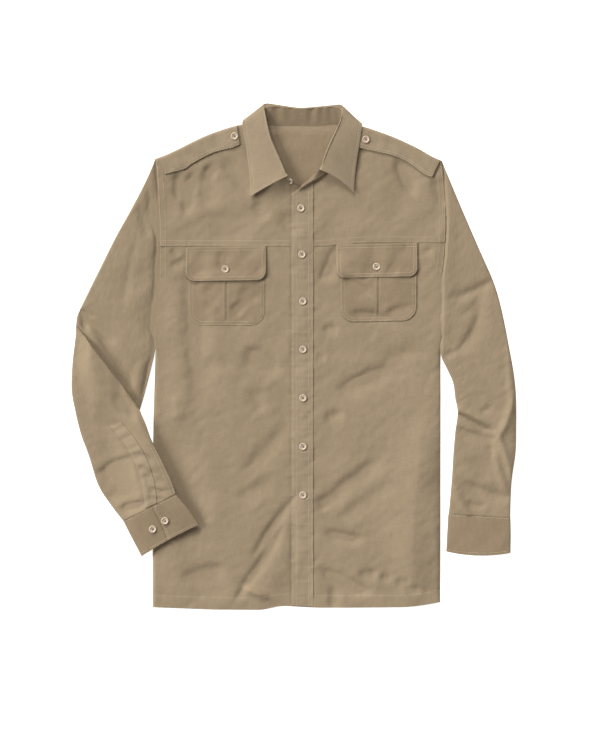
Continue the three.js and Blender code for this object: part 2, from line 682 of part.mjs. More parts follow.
function buildBack() {
  const columns = [-1, -0.75, -0.5, -0.25, 0, 0.25, 0.5, 0.75, 1];
  const topY = () => BACK_YOKE_Y;
  const shares = [
    ...rowShares("right", hemY, topY, 8, 5),
    ...rowShares("left", hemY, topY, 1, 1).slice(1, -1),
  ];
  shares.sort((a, b) => a - b);
  add("back", backPanel(hemY, topY, shares, columns));
  const yokeColumns = [1, 0.78, 0.56, 0.53, 0.5, 0.47, 0.435, 0.34, 0.29, 0.24, 0.17, 0.08];
  const mirrored = [...yokeColumns.map((u) => -u), 0, ...yokeColumns.slice().reverse()];
  add("back_yoke", backPanel(() => BACK_YOKE_Y + SEAM_GAP, backTopY, steps(0, 1, 10), mirrored));
}

function buildFronts() {
  const below = (x) => chestSeamY(x) - SEAM_GAP / 2;
  const above = (x) => chestSeamY(x) + SEAM_GAP / 2;
  const innerX = { right: UNDERLAP_MAX_X, left: PLACKET.maxX + SEAM_GAP };
  for (const side of ["right", "left"]) {
    const lower = frontPanel(side, innerX[side], hemY, below, { below: 20, above: 3 }, 10, false);
    const yoke = frontPanel(side, innerX[side], above, frontTopY, { below: 4, above: 5 }, 10, true);
    add(`front_${side}`, clothWall(lower));
    add(`chest_yoke_${side}`, clothWall(yoke));
  }
}

function buildPlacket() {
  const columns = steps(PLACKET.minX, PLACKET.maxX, 3);
  const plan = steps(0, 1, 20).map((v) =>
    columns.map((x) => [x, hemY(x) + v * (frontTopY(x) - hemY(x))]),
  );
  add("placket", layOnFront(plan, SEAM_GAP), KHAKI_FIRM);
}

// Plan of a patch with a straight top and rounded lower corners.
function patchPlan(patch, columnCount, rowCount, extraColumns = []) {
  const { x, width, topY, bottomY, corner, tilt } = patch;
  const shares = [...steps(-1, 1, columnCount), ...extraColumns].sort((a, b) => a - b);
  const inCorner = steps(0, 1, 4).map((t) => corner * (1 - Math.cos((t * Math.PI) / 2)));
  const rows = [...inCorner, ...steps(corner, topY - bottomY, rowCount).slice(1)];
  return rows.map((rise) => {
    const missing = Math.max(0, corner - rise);
    const half = width / 2 - corner + Math.sqrt(corner ** 2 - missing ** 2);
    return shares.map((s) => [x + s * half, bottomY + rise + tilt * s * half]);
  });
}

function buildPockets() {
  for (const side of ["right", "left"]) {
    const pocket = POCKETS[side];
    const near = PLEAT.halfWidth / (pocket.width / 2);
    const plan = patchPlan(pocket, 8, 5, [-4 * near, -near, near, 4 * near]);
    const pleat = (x) => -PLEAT.depth * Math.max(0, 1 - Math.abs(x - pocket.x) / PLEAT.halfWidth);
    add(`pocket_${side}`, layOnFront(plan, SEAM_GAP, CLOTH, pleat));
    const flapPlan = patchPlan(FLAPS[side], 8, 3);
    add(`pocket_flap_${side}`, layOnFront(flapPlan, CLOTH + 2 * SEAM_GAP), KHAKI_FIRM);
  }
}

function buildStraps() {
  for (const [side, table] of [["right", RIGHT_STRAP], ["left", LEFT_STRAP]]) {
    const across = [0, 0.3, 0.6, 0.85, 0.93, 0.975, 0.995];
    const lines = steps(0, 1, 14).map((t) => {
      const row = sectionAt(table, t);
      const topY = shoulderY(row.topX);
      return across.map((s) => [row.x + s * (row.topX - row.x), row.y + s * (topY - row.y)]);
    });
    const plan = side === "right" ? lines.map((l) => l.slice().reverse()) : lines;
    add(`shoulder_strap_${side}`, layOnFront(plan, STRAP_LIFT), KHAKI_FIRM);
  }
}

// Where the folded forearm rests: on the surface, on the body's edge, or on the upper arm's end.
function forearmRest(x, y) {
  const onBody = (FRONT_TOP + REST_GAP) * smoothstep(-300, -243, x);
  const first = RIGHT_FOREARM[0];
  const dx = first.innerX - first.outerX;
  const dy = first.innerY - first.outerY;
  const length = Math.hypot(dx, dy);
  const along = ((x - first.outerX) * dx + (y - first.outerY) * dy) / length;
  const past = ((x - first.outerX) * dy - (y - first.outerY) * dx) / length;
  const nearFold = smoothstep(4, 46, along - Math.max(0, past)) * (1 - smoothstep(20, 64, past));
  const onSleeve = (SLEEVE_HEIGHT + REST_GAP) * nearFold;
  return Math.max(onBody, onSleeve);
}

const sleeveRelief = (x, y) => foldHeight(SLEEVE_FOLDS, x, y);
const onSurface = () => 0;

function buildSleeves() {
  const shares = () => acrossShares(10);
  const common = { height: SLEEVE_HEIGHT, relief: sleeveRelief, shares };
  const left = flatTube(LEFT_SLEEVE, { ...common, restsAt: onSurface, count: 18, turn: -1 });
  add("sleeve_left", left);
  const upper = flatTube(RIGHT_UPPER_ARM, {
    ...common,
    restsAt: onSurface,
    count: 10,
    turn: 1,
    closedEnd: true,
  });
  const forearm = flatTube(RIGHT_FOREARM, {
    ...common,
    restsAt: forearmRest,
    count: 14,
    turn: 1,
    closedStart: true,
  });
  add("sleeve_right", toGeometry(toSolid(upper).add(toSolid(forearm))));
}

function buildCuffs() {
  const plain = () => 0;
  add(
    "cuff_left",
    flatTube(LEFT_CUFF, {
      height: CUFF_HEIGHT,
      relief: plain,
      restsAt: onSurface,
      shares: () => acrossShares(10),
      count: 4,
      turn: -1,
    }),
    KHAKI_FIRM,
  );
  const edgeAt = (t) => CUFF_OVERLAP.atSeam + t * (CUFF_OVERLAP.atHem - CUFF_OVERLAP.atSeam);
  const { step, run } = CUFF_OVERLAP;
  add(
    "cuff_right",
    flatTube(RIGHT_CUFF, {
      height: CUFF_HEIGHT,
      relief: (x, y, s) => {
        const span = RIGHT_CUFF[2];
        const seam = RIGHT_CUFF[0];
        const depth = Math.hypot(span.outerX - seam.outerX, span.outerY - seam.outerY);
        const t = clamp01(distanceFromLine(seam, x, y) / depth);
        return step * clamp01((s - edgeAt(t) + run) / (2 * run));
      },
      restsAt: forearmRest,
      shares: (t) => acrossShares(10, [edgeAt(t) - run, edgeAt(t) + run]),
      count: 4,
      turn: 1,
    }),
    KHAKI_FIRM,
  );
}

// Plan distance of (x, y) from the line through a section's two edges.
function distanceFromLine(section, x, y) {
  const dx = section.innerX - section.outerX;
  const dy = section.innerY - section.outerY;
  return Math.abs((x - section.outerX) * dy - (y - section.outerY) * dx) / Math.hypot(dx, dy);
}

// The strip that finishes the sleeve's opening, on top of the forearm.
function buildSleevePlacket() {
  const { x1, y1, x2, y2, width } = SLEEVE_PLACKET;
  const length = Math.hypot(x2 - x1, y2 - y1);
  const nx = (y2 - y1) / length;
  const ny = -(x2 - x1) / length;
  const height = (x, y) => forearmRest(x, y) + SLEEVE_HEIGHT + sleeveRelief(x, y);
  const face = (out) =>
    steps(0, 1, 10).map((t) =>
      steps(-0.5, 0.5, 2).map((s) => {
        const x = x1 + t * (x2 - x1) + nx * s * width;
        const y = y1 + t * (y2 - y1) + ny * s * width;
        return new THREE.Vector3(x, y, height(x, y) + out);
      }),
    );
  const under = 1.1;
  add("sleeve_placket_right", solidBetween(face(under + CLOTH), face(under)), KHAKI_FIRM);
}

function buildCollar() {
  const leafRows = steps(0, 1, 44).map((t) => sectionAt(COLLAR_LEAF, t));
  const leaf = steps(0, 1, 5).map((t) =>
    leafRows.map((row) => {
      const z = row.edgeZ + (row.foldZ - row.edgeZ) * (1 - t) ** row.drop;
      return new THREE.Vector3(
        row.foldX + t * (row.edgeX - row.foldX),
        row.foldY + t * (row.edgeY - row.foldY),
        Math.max(0, z),
      );
    }),
  );
  add("collar_leaf", clothWall(leaf), KHAKI_FIRM);
  const standRows = steps(0, 1, 40).map((t) => sectionAt(COLLAR_STAND, t));
  const stand = steps(0, 1, 3).map((t) =>
    standRows.map(
      (row) =>
        new THREE.Vector3(
          row.seamX + t * (row.topX - row.seamX),
          row.seamY + t * (row.topY - row.seamY),
          row.seamZ + t * (row.topZ - row.seamZ),
        ),
    ),
  );
  add("collar_stand", clothWall(stand), KHAKI_FIRM);
}

// A dished button with a rim and four holes, standing on its own back face.
function buttonSolid() {
  const { radius, thickness, dish, rim, hole, holeOffset } = BUTTON;
  const profile = [
    [0, 0],
    [radius - 0.8, 0],
    [radius, thickness * 0.45],
    [radius - 0.5, thickness],
    [radius - rim, thickness - dish],
    [0, thickness - dish],
  ].map(([r, z]) => new THREE.Vector2(r, z));
  const disc = new THREE.LatheGeometry(profile, 12);
  disc.rotateX(Math.PI / 2);
  disc.deleteAttribute("normal");
  disc.deleteAttribute("uv");
  let solid = toSolid(disc);
  for (const [sx, sy] of [[1, 1], [1, -1], [-1, 1], [-1, -1]]) {
    const pin = new THREE.CylinderGeometry(hole, hole, 4 * thickness, 4);
    pin.rotateX(Math.PI / 2);
    pin.translate((sx * holeOffset) / Math.SQRT2, (sy * holeOffset) / Math.SQRT2, 0);
    pin.deleteAttribute("normal");
    pin.deleteAttribute("uv");
    solid = solid.subtract(toSolid(pin));
  }
  return toGeometry(solid);
}

function buildButtons() {
  const shape = buttonSolid();
  const onFront = (x, y, lift) => frontHeight(x, y) + lift + CLOTH + SEAM_GAP;
  const place = (name, x, y, z) => {
    const mesh = add(name, shape, IVORY);
    mesh.position.set(x, y, z);
  };
  FRONT_BUTTONS.forEach(({ x, y }, k) => {
    place(`button_front_${k + 1}`, x, y, onFront(x, y, SEAM_GAP));
  });
  const onFlap = CLOTH + 2 * SEAM_GAP;
  for (const { name, x, y, lift } of [
    { name: "pocket_right", x: -120.5, y: 143.8, lift: onFlap },
    { name: "pocket_left", x: 130.3, y: 148, lift: onFlap },
    { name: "strap_right", x: -105.2, y: 364, lift: STRAP_LIFT + 0.2 },
    { name: "strap_left", x: 112.6, y: 358.6, lift: STRAP_LIFT + 0.2 },
  ]) {
    place(`button_${name}`, x, y, onFront(x, y, lift));
  }
  const onCuff = (x, y) => forearmRest(x, y) + CUFF_HEIGHT + SEAM_GAP;
  const { step } = CUFF_OVERLAP;
  place("button_cuff_right_1", -220, -272.6, onCuff(-220, -272.6) + step);
  place("button_cuff_right_2", -240.4, -286.7, onCuff(-240.4, -286.7));
}

buildBack();
buildFronts();
buildPlacket();
buildPockets();
buildStraps();
buildSleeves();
buildCuffs();
buildSleevePlacket();
buildCollar();
buildButtons();

export default shirt;
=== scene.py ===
# %% [markdown]
# # A pilot shirt lying flat
# The real object is a khaki cotton shirt with a folded collar, shoulder straps, a chest yoke, two
# flap pockets and buttoned cuffs, laid on a table with one sleeve bent across its body.
# It could be draped by a cloth simulation. Here each panel is a surface worked out with numpy over
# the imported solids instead, because the creases then lie exactly where a pressed shirt has them.

import bpy
import numpy as np
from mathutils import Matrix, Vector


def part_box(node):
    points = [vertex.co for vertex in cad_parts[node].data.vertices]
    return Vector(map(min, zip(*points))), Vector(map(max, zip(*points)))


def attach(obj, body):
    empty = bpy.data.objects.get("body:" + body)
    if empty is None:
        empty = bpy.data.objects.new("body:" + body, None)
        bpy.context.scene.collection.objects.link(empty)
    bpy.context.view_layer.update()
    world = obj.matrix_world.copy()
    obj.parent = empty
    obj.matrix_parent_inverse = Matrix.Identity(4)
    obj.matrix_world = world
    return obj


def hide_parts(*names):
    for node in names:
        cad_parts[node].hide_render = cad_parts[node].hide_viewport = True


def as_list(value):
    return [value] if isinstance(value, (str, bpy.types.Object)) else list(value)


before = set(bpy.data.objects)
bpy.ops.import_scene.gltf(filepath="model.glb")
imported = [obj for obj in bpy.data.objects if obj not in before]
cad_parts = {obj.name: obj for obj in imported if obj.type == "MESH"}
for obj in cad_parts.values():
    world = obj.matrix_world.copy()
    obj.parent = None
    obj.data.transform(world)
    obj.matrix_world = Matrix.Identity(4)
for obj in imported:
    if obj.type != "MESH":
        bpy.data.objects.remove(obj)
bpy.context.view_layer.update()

# %% [markdown]
# ## Numbers in tables
# A pattern cutter works from tables of points. Each table here has named columns, in millimetres.
# Straight lines between the points would leave corners in the cloth, so two helpers draw a smooth
# line through them: one reads a column against another, the other walks along the whole table.

# %% Tables and smooth lines
MM = 0.001


def table(names, *rows):
    """Rows of numbers become one array for each name."""
    return dict(zip(names.split(), np.array(rows, float).T))


def ease(low, high, value):
    """0 before low and 1 past high, with an S of 3t^2 - 2t^3 between them."""
    t = np.clip((value - low) / (high - low), 0, 1)
    return t * t * (3 - 2 * t)


def through(xs, ys, at):
    """A smooth line through points: cubic pieces whose slope at a point is the harmonic mean of
    the straight slopes beside it, or 0 at a peak, so that it never overshoots."""
    step, rise = np.diff(xs), np.diff(ys) / np.diff(xs)
    both = rise[1:] * rise[:-1]
    mean = np.where(both > 0, 2 * both / np.where(both > 0, rise[1:] + rise[:-1], 1), 0)
    slope = np.concatenate([rise[:1], mean, rise[-1:]])
    k = np.clip(np.searchsorted(xs, at) - 1, 0, len(step) - 1)
    t = np.clip((at - xs[k]) / step[k], 0, 1)
    bend = step[k] * (slope[k] * (1 - t) - slope[k + 1] * t)
    gain = ys[k + 1] - ys[k]
    return ys[k] + t * gain + t * (1 - t) * (bend - gain * (1 - 2 * t))


def along(sections, share):
    """Every column at a share of the way along a table: cubic pieces whose slope at a row is half
    the step between its two neighbours."""
    found = {}
    for name, column in sections.items():
        last = len(column) - 1
        place = np.clip(share, 0, 1) * last
        k = np.minimum(np.floor(place).astype(int), last - 1)
        t = place - k
        a, b, c, d = (column[np.clip(k + n, 0, last)] for n in (-1, 0, 1, 2))
        first, second, gain = (c - a) / 2, (d - b) / 2, c - b
        found[name] = b + t * (first + t * (3 * gain - 2 * first - second))
        found[name] = found[name] + t**3 * (first + second - 2 * gain)
    return found


def even(reach, pitch):
    """Places from 0 to reach, about pitch apart."""
    return np.linspace(0, reach, max(2, round(reach / pitch)) + 1)


EDGE_STEPS = np.array([0, 0.12, 0.4, 0.8, 1.3, 1.9, 2.7, 3.7])


def from_edge(reach, pitch):
    """Distances from an edge: fine where the cloth rounds over, then about pitch apart."""
    far = EDGE_STEPS[-1] + even(reach - EDGE_STEPS[-1], pitch)
    return np.concatenate([EDGE_STEPS, far[1:]])


def between_edges(reach, pitch):
    """Distances across a band with two edges, fine at both."""
    half = from_edge(reach / 2, pitch)
    return np.concatenate([half, reach - half[-2::-1]])

# %% [markdown]
# ## Creases
# Cotton that has been folded and laid down keeps long soft troughs, a few sharp creases, and small
# gathers beside each row of stitches. A noise texture would scatter them evenly, as no real shirt
# does, so the main ones are placed one by one: a line on the plan, how far its middle bows to the
# left, its half width on its left and right side, how high it rises (a trough is negative), and how
# round it is, from 1 for a crease to 2 for a soft bell. What the eye sees of a trough is its flank
# in shade, and of a ridge its flank in light, so the table's lines follow those flanks. The middle
# of the fold lies 0.9 of a half width further from the light, and its other flank is wider.

# %% Creases, unevenness and gathers
FOLD_COLUMNS = "x1 y1 x2 y2 bow left right rise roundness"
LIT_FROM = dict(across=-0.74, up=0.67)


def folds(*rows):
    """A table of creases in the columns above."""
    return table(FOLD_COLUMNS, *rows)


def fold_height(creases, x, y):
    """Sum over the creases of rise * fade * exp(-|distance / half width|^roundness)."""
    total = np.zeros(np.broadcast(x, y).shape)
    for x1, y1, x2, y2, bow, left, right, rise, roundness in zip(*creases.values()):
        dx, dy = x2 - x1, y2 - y1
        length = np.hypot(dx, dy)
        s = ((x - x1) * dx + (y - y1) * dy) / length**2
        within = np.clip(s, 0, 1)
        off = ((y - y1) * dx - (x - x1) * dy) / length - 4 * bow * within * (1 - within)
        lit = (LIT_FROM["up"] * dx - LIT_FROM["across"] * dy) / length
        left, right = (1.35 * left, 1.9 * right) if lit > 0 else (1.9 * left, 1.35 * right)
        off = off + 0.9 * lit * (left if lit > 0 else right)
        fade = ease(0, 0.35, s) * ease(1, 0.65, s)
        width = np.where(off > 0, left, right) * (0.6 + 0.4 * fade)
        total += rise * fade * np.exp(-(np.abs(off / width) ** roundness))
    return total


def ripples(x, y, wavelength, seed):
    """Gentle unevenness: nine plane waves with seeded directions, lengths and starts, bent a little
    by a slow wave so that no pattern shows."""
    rng = np.random.default_rng(seed)
    u = x + 0.3 * wavelength * np.sin(y / wavelength * 2.1 + seed)
    v = y + 0.3 * wavelength * np.sin(x / wavelength * 1.7 - seed)
    total = 0
    for turn, stretch, start in rng.uniform([0, 0.7, 0], [6.28, 1.6, 6.28], (9, 3)):
        phase = (u * np.cos(turn) + v * np.sin(turn)) * 6.28 / (wavelength * stretch)
        total = total + np.sin(phase + start) / 3
    return total


def gathers(run, away, seed, pitch=9, reach=6):
    """What stitches pull into cloth: uneven waves along their line that die off beside it."""
    starts = np.random.default_rng(seed).uniform(0, 6.28, 3)
    slow = 1.2 * np.sin(run / pitch * 0.83 + starts[0])
    wave = 0
    for length, start in zip((1, 1.43, 2.3), starts):
        wave = wave + np.sin(6.28 * run / (pitch * length) + start + slow) / 2
    return wave * np.exp(-np.abs(away) / reach)


def rounded(distance, radius):
    """How far a surface has dropped near an edge that rounds over: 1 at the edge, 0 past radius."""
    t = np.clip(1 - distance / radius, 0, 1)
    return 1 - np.sqrt(1 - t * t)

# %% [markdown]
# ## The cloth and the other finishes
# The real cloth is a light cotton twill: khaki yarn-dyed threads about 0.3 mm thick, woven in fine
# diagonals, pressed, with slightly thicker threads here and there. Its fuzz scatters light at
# grazing angles, which is what sheen does. The weave could be an image, but a procedural one has no
# seams and any sharpness. The pattern reads a UV map laid out in metres along the threads.

# %% Colours and one node helper
def colour(hex_code, gain=1.0):
    """An sRGB hex colour as linear light: c/12.92 below 0.04, else ((c + 0.055)/1.055)^2.4."""
    parts = np.array([int(hex_code[k : k + 2], 16) for k in (0, 2, 4)]) / 255
    linear = np.where(parts < 0.04045, parts / 12.92, ((parts + 0.055) / 1.055) ** 2.4)
    return (*(gain * linear).tolist(), 1.0)


def add(tree, kind, inputs=None, **settings):
    """Adds a node with its settings. An input that is a socket is linked, any other is a value."""
    node = tree.nodes.new(kind)
    for name, value in settings.items():
        setattr(node, name, value)
    for name, value in (inputs or {}).items():
        if isinstance(value, bpy.types.NodeSocket):
            tree.links.new(value, node.inputs[name])
        else:
            node.inputs[name].default_value = value
    return node


def two_tones(tree, factor, dark, light):
    """A mix of two sRGB colours: dark where the factor is 0 and light where it is 1."""
    blend = add(tree, "ShaderNodeMix", {"Factor": factor}, data_type="RGBA")
    blend.inputs[6].default_value = colour(dark)
    blend.inputs[7].default_value = colour(light)
    return blend.outputs[2]


def new_finish(name):
    """An empty material with its output node."""
    made = bpy.data.materials.new(name)
    made.use_nodes = True
    made.node_tree.nodes.clear()
    return made, made.node_tree


# %% Cotton twill
THREAD = 0.8  # mm; real threads are 0.3 mm, too fine to show, so they are drawn this coarse


def cotton_twill(name, light, dark):
    """Slubs run along both threads, clouds are uneven pressing, diagonal waves are the twill."""
    made, tree = new_finish(name)
    place = add(tree, "ShaderNodeUVMap", uv_map="weave").outputs["UV"]

    def streaks(x_mm, y_mm, detail):
        size = (1 / (x_mm * MM), 1 / (y_mm * MM), 1)
        spread = add(tree, "ShaderNodeMapping", {"Vector": place, "Scale": size})
        inputs = {"Vector": spread.outputs["Vector"], "Scale": 1.0, "Detail": detail}
        return add(tree, "ShaderNodeTexNoise", inputs).outputs["Fac"]

    warp = streaks(1.1, 17, 2)
    weft = streaks(14, 1.3, 2)
    cloud = streaks(60, 75, 3)
    slubs = add(tree, "ShaderNodeMath", {0: warp, 1: weft}, operation="ADD").outputs[0]
    mixed = add(tree, "ShaderNodeMath", {0: slubs, 1: cloud}, operation="ADD").outputs[0]
    range_inputs = {"Value": mixed, "From Min": 1.05, "From Max": 1.95}
    shade = add(tree, "ShaderNodeMapRange", range_inputs).outputs["Result"]
    base = two_tones(tree, shade, dark, light)

    wave = {"Vector": place, "Scale": 0.314 / (THREAD * MM), "Distortion": 1.5, "Detail": 1.0}
    twill = add(tree, "ShaderNodeTexWave", wave, bands_direction="DIAGONAL").outputs["Fac"]
    pressed = streaks(9, 13, 4)
    tiny = {"Height": twill, "Strength": 0.35, "Distance": 0.12 * MM}
    first = add(tree, "ShaderNodeBump", tiny).outputs["Normal"]
    yarn = {"Height": slubs, "Strength": 0.5, "Distance": 0.25 * MM, "Normal": first}
    second = add(tree, "ShaderNodeBump", yarn).outputs["Normal"]
    crumple = {"Height": pressed, "Strength": 0.6, "Distance": 0.9 * MM, "Normal": second}
    bump = add(tree, "ShaderNodeBump", crumple).outputs["Normal"]

    surface = {"Base Color": base, "Roughness": 0.88, "Normal": bump}
    shader = add(tree, "ShaderNodeBsdfPrincipled", surface)
    shader.inputs["Specular IOR Level"].default_value = 0.22
    shader.inputs["Sheen Weight"].default_value = 0.12
    shader.inputs["Sheen Roughness"].default_value = 0.45
    shader.inputs["Sheen Tint"].default_value = colour("E8DCC8")
    add(tree, "ShaderNodeOutputMaterial", {"Surface": shader.outputs[0]})
    return made


KHAKI = cotton_twill("khaki_cotton_twill", "9F8C73", "918066")
KHAKI_FIRM = cotton_twill("khaki_twill_lined", "A18F76", "95836A")
KHAKI_PATCH = cotton_twill("khaki_twill_doubled", "99866D", "8B7960")

# %% [markdown]
# The stitches are polyester-cotton thread, a little shinier than the cloth. The real thread has
# the cloth's own colour; here it is painted much lighter, a painted highlight, so that the stitches
# show as fine light dashes. The buttons are cast polyester in an ivory with a pinkish cast: smooth
# and polished, with a faint cloud from the casting.

# %% Thread and buttons
def spun_thread(name, hex_code):
    """Twisted thread: a fine noise stands for its plies."""
    made, tree = new_finish(name)
    place = add(tree, "ShaderNodeTexCoord").outputs["Object"]
    plies = add(tree, "ShaderNodeTexNoise", {"Vector": place, "Scale": 1 / (0.9 * MM)})
    bump = {"Height": plies.outputs["Fac"], "Strength": 0.5, "Distance": 0.1 * MM}
    normal = add(tree, "ShaderNodeBump", bump).outputs["Normal"]
    surface = {"Base Color": colour(hex_code), "Roughness": 0.6, "Normal": normal}
    shader = add(tree, "ShaderNodeBsdfPrincipled", surface)
    shader.inputs["Specular IOR Level"].default_value = 0.35
    add(tree, "ShaderNodeOutputMaterial", {"Surface": shader.outputs[0]})
    return made


def cast_ivory(name, light, dark):
    """Cast polyester: swirls 3 mm wide in two close tones under a polished face."""
    made, tree = new_finish(name)
    place = add(tree, "ShaderNodeTexCoord").outputs["Object"]
    swirl = {"Vector": place, "Scale": 1 / (3 * MM), "Detail": 2.0, "Distortion": 1.5}
    cloud = add(tree, "ShaderNodeTexNoise", swirl).outputs["Fac"]
    surface = {"Base Color": two_tones(tree, cloud, dark, light), "Roughness": 0.28}
    shader = add(tree, "ShaderNodeBsdfPrincipled", surface)
    shader.inputs["IOR"].default_value = 1.54
    shader.inputs["Subsurface Weight"].default_value = 0.1
    shader.inputs["Subsurface Scale"].default_value = 1.5 * MM
    add(tree, "ShaderNodeOutputMaterial", {"Surface": shader.outputs[0]})
    return made


# The thread's light colour D0C1A7 is a painted highlight; the thread's own colour is the cloth's.
THREAD_PAINTED_HIGHLIGHT = spun_thread("khaki_thread_painted_highlight", "D0C1A7")
THREAD_DARK = spun_thread("brown_button_thread", "7C6A52")
IVORY = cast_ivory("ivory_polyester", "D9C8B4", "BDA890")

# %% [markdown]
# ## From a grid to a piece of cloth
# Each panel is a grid of points. A second coordinate pair per point says where it lies on the
# weave.

# %% Grid, mesh and cloth helpers
def grid_faces(rows, columns, wrap=False):
    """The four corners of each cell, with the last column joined to the first if it wraps."""
    number = np.arange(rows * columns).reshape(rows, columns)
    if wrap:
        number = np.hstack([number, number[:, :1]])
    corners = [number[:-1, :-1], number[:-1, 1:], number[1:, 1:], number[1:, :-1]]
    return np.stack(corners, -1).reshape(-1, 4)


def mesh_object(name, points, faces, finish, weave=None):
    """Points in millimetres and faces become a smooth object in metres, riding on the shirt."""
    mesh = bpy.data.meshes.new(name)
    corners = faces.tolist() if isinstance(faces, np.ndarray) else faces
    mesh.from_pydata((np.reshape(points, (-1, 3)) * MM).tolist(), [], corners)
    mesh.polygons.foreach_set("use_smooth", np.ones(len(mesh.polygons), bool))
    if weave is not None:
        corner = np.empty(len(mesh.loops), int)
        mesh.loops.foreach_get("vertex_index", corner)
        layer = mesh.uv_layers.new(name="weave")
        flat = np.reshape(weave, (-1, 2))[corner] * MM
        layer.data.foreach_set("uv", flat.ravel())
    mesh.materials.append(finish)
    piece = bpy.data.objects.new(name, mesh)
    bpy.context.scene.collection.objects.link(piece)
    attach(piece, "root")
    return piece


def cut_size(grid, wrap=False):
    """Longest row, longest column and whole area of a grid, in millimetres."""
    ring = np.concatenate([grid, grid[:, :1]], 1) if wrap else grid
    across, up = np.diff(ring, axis=1), np.diff(ring, axis=0)
    cells = np.cross(across[:-1], up[:, :-1]) + np.cross(across[1:], up[:, 1:])
    width = np.linalg.norm(across, axis=2).sum(1).max()
    length = np.linalg.norm(up, axis=2).sum(0).max()
    return width, length, np.linalg.norm(cells, axis=2).sum() / 2


def cloth(name, grid, weave, node, finish=KHAKI, thickness=0.7, wrap=False, on=(), held="laid"):
    """A grid of points becomes a sheet of cloth that stands for a node of the frame."""
    piece = mesh_object(name, grid, grid_faces(*grid.shape[:2], wrap), finish, weave)
    wall = piece.modifiers.new("thickness", "SOLIDIFY")
    wall.thickness, wall.offset, wall.use_even_offset = thickness * MM, -1, False
    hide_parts(node)
    width, length, area = cut_size(grid, wrap)
    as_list(on)
    print(f"{name}: cut {width:.0f} x {length:.0f} mm, {grid.shape[0]} x {grid.shape[1]} points")


def stack(*columns):
    """Coordinate arrays of any matching shapes become one array of points."""
    return np.stack(np.broadcast_arrays(*columns), -1)

# %% [markdown]
# ## The body's outline
# The body lies as two layers, front over back, joined at the side seams and the shoulders. The
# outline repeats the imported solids' own points: side seams, hem, shoulders, neckline, chest seam
# and armholes. Looking these up in the frame's mesh would work too, but named lines can also carry
# stitches and gathers.

# %% Outline tables
SIDES = table(
    "y minX maxX",
    (-417, -241.2, 235.7),
    (-324, -241.2, 236),
    (-138, -240.4, 236),
    (16, -236.2, 236.7),
    (50, -234.4, 237.5),
    (106, -230.7, 238.3),
    (133, -229, 238.7),
)
HEM = table(
    "x y",
    (-242, -416.7),
    (-129, -420.5),
    (-66, -421),
    (-25, -415),
    (36, -417.5),
    (169, -416.7),
    (202, -414),
    (237, -408),
)
SHOULDERS = table(
    "x y",
    (-238, 327),
    (-226, 331),
    (-147, 367.8),
    (-111, 379.8),
    (-80, 386),
    (80, 386),
    (102, 381.8),
    (148.7, 366.9),
    (195.5, 346.2),
    (228, 328),
    (239, 324),
)
NECKLINE = table(
    "x y",
    (-80, 386),
    (-77.5, 366),
    (-70, 340),
    (-54, 307),
    (-34, 301),
    (-18.5, 297.5),
    (-9, 291),
    (-2, 285.6),
    (5.6, 280),
    (21, 287.5),
    (40, 299),
    (58, 317),
    (71, 343),
    (77.5, 366),
    (80, 386),
)
CHEST_SEAM = table("x y", (-245, 182), (26, 182), (118, 188), (245, 188.5))
ARMHOLES = {
    "right": dict(under_x=-229.4, under_y=122.8, top_x=-236, top_y=327.9, bow=3),
    "left": dict(under_x=238.7, under_y=133, top_x=237.8, top_y=324.5, bow=7.2),
}
NECK_HALF, NECK_TOP, BACK_NECK = 80, 386, 377
PLACKET_LEFT, PLACKET_RIGHT = -10.5, 25.5


def side_x(side, y):
    """The side seam's x, and above the underarm the armhole's: a straight line plus a bow."""
    hole = ARMHOLES[side]
    t = np.clip((y - hole["under_y"]) / (hole["top_y"] - hole["under_y"]), 0, 1)
    seam = hole["under_x"] + t * (hole["top_x"] - hole["under_x"]) + hole["bow"] * 4 * t * (1 - t)
    below = through(SIDES["y"], SIDES["minX" if side == "right" else "maxX"], y)
    return np.where(y > hole["under_y"], seam, below)


def hem_y(x):
    return through(HEM["x"], HEM["y"], x)


def shoulder_y(x):
    return through(SHOULDERS["x"], SHOULDERS["y"], x)


def chest_y(x):
    return through(CHEST_SEAM["x"], CHEST_SEAM["y"], x)


def neck_y(x):
    """Top of the front: the neckline between the collar's ends, and the shoulder outside them."""
    neck = np.interp(x, NECKLINE["x"], NECKLINE["y"])
    return np.where(np.abs(x) >= NECK_HALF, shoulder_y(x), neck)

# %% [markdown]
# ## The front's height
# Pressed and laid down, the front stands about 5 mm over the table, rounds down into the side seams
# and shoulders, and carries the creases. Everything sewn to it follows the same height, so it is
# one function of x and y that the placket, pockets and straps ask as well.

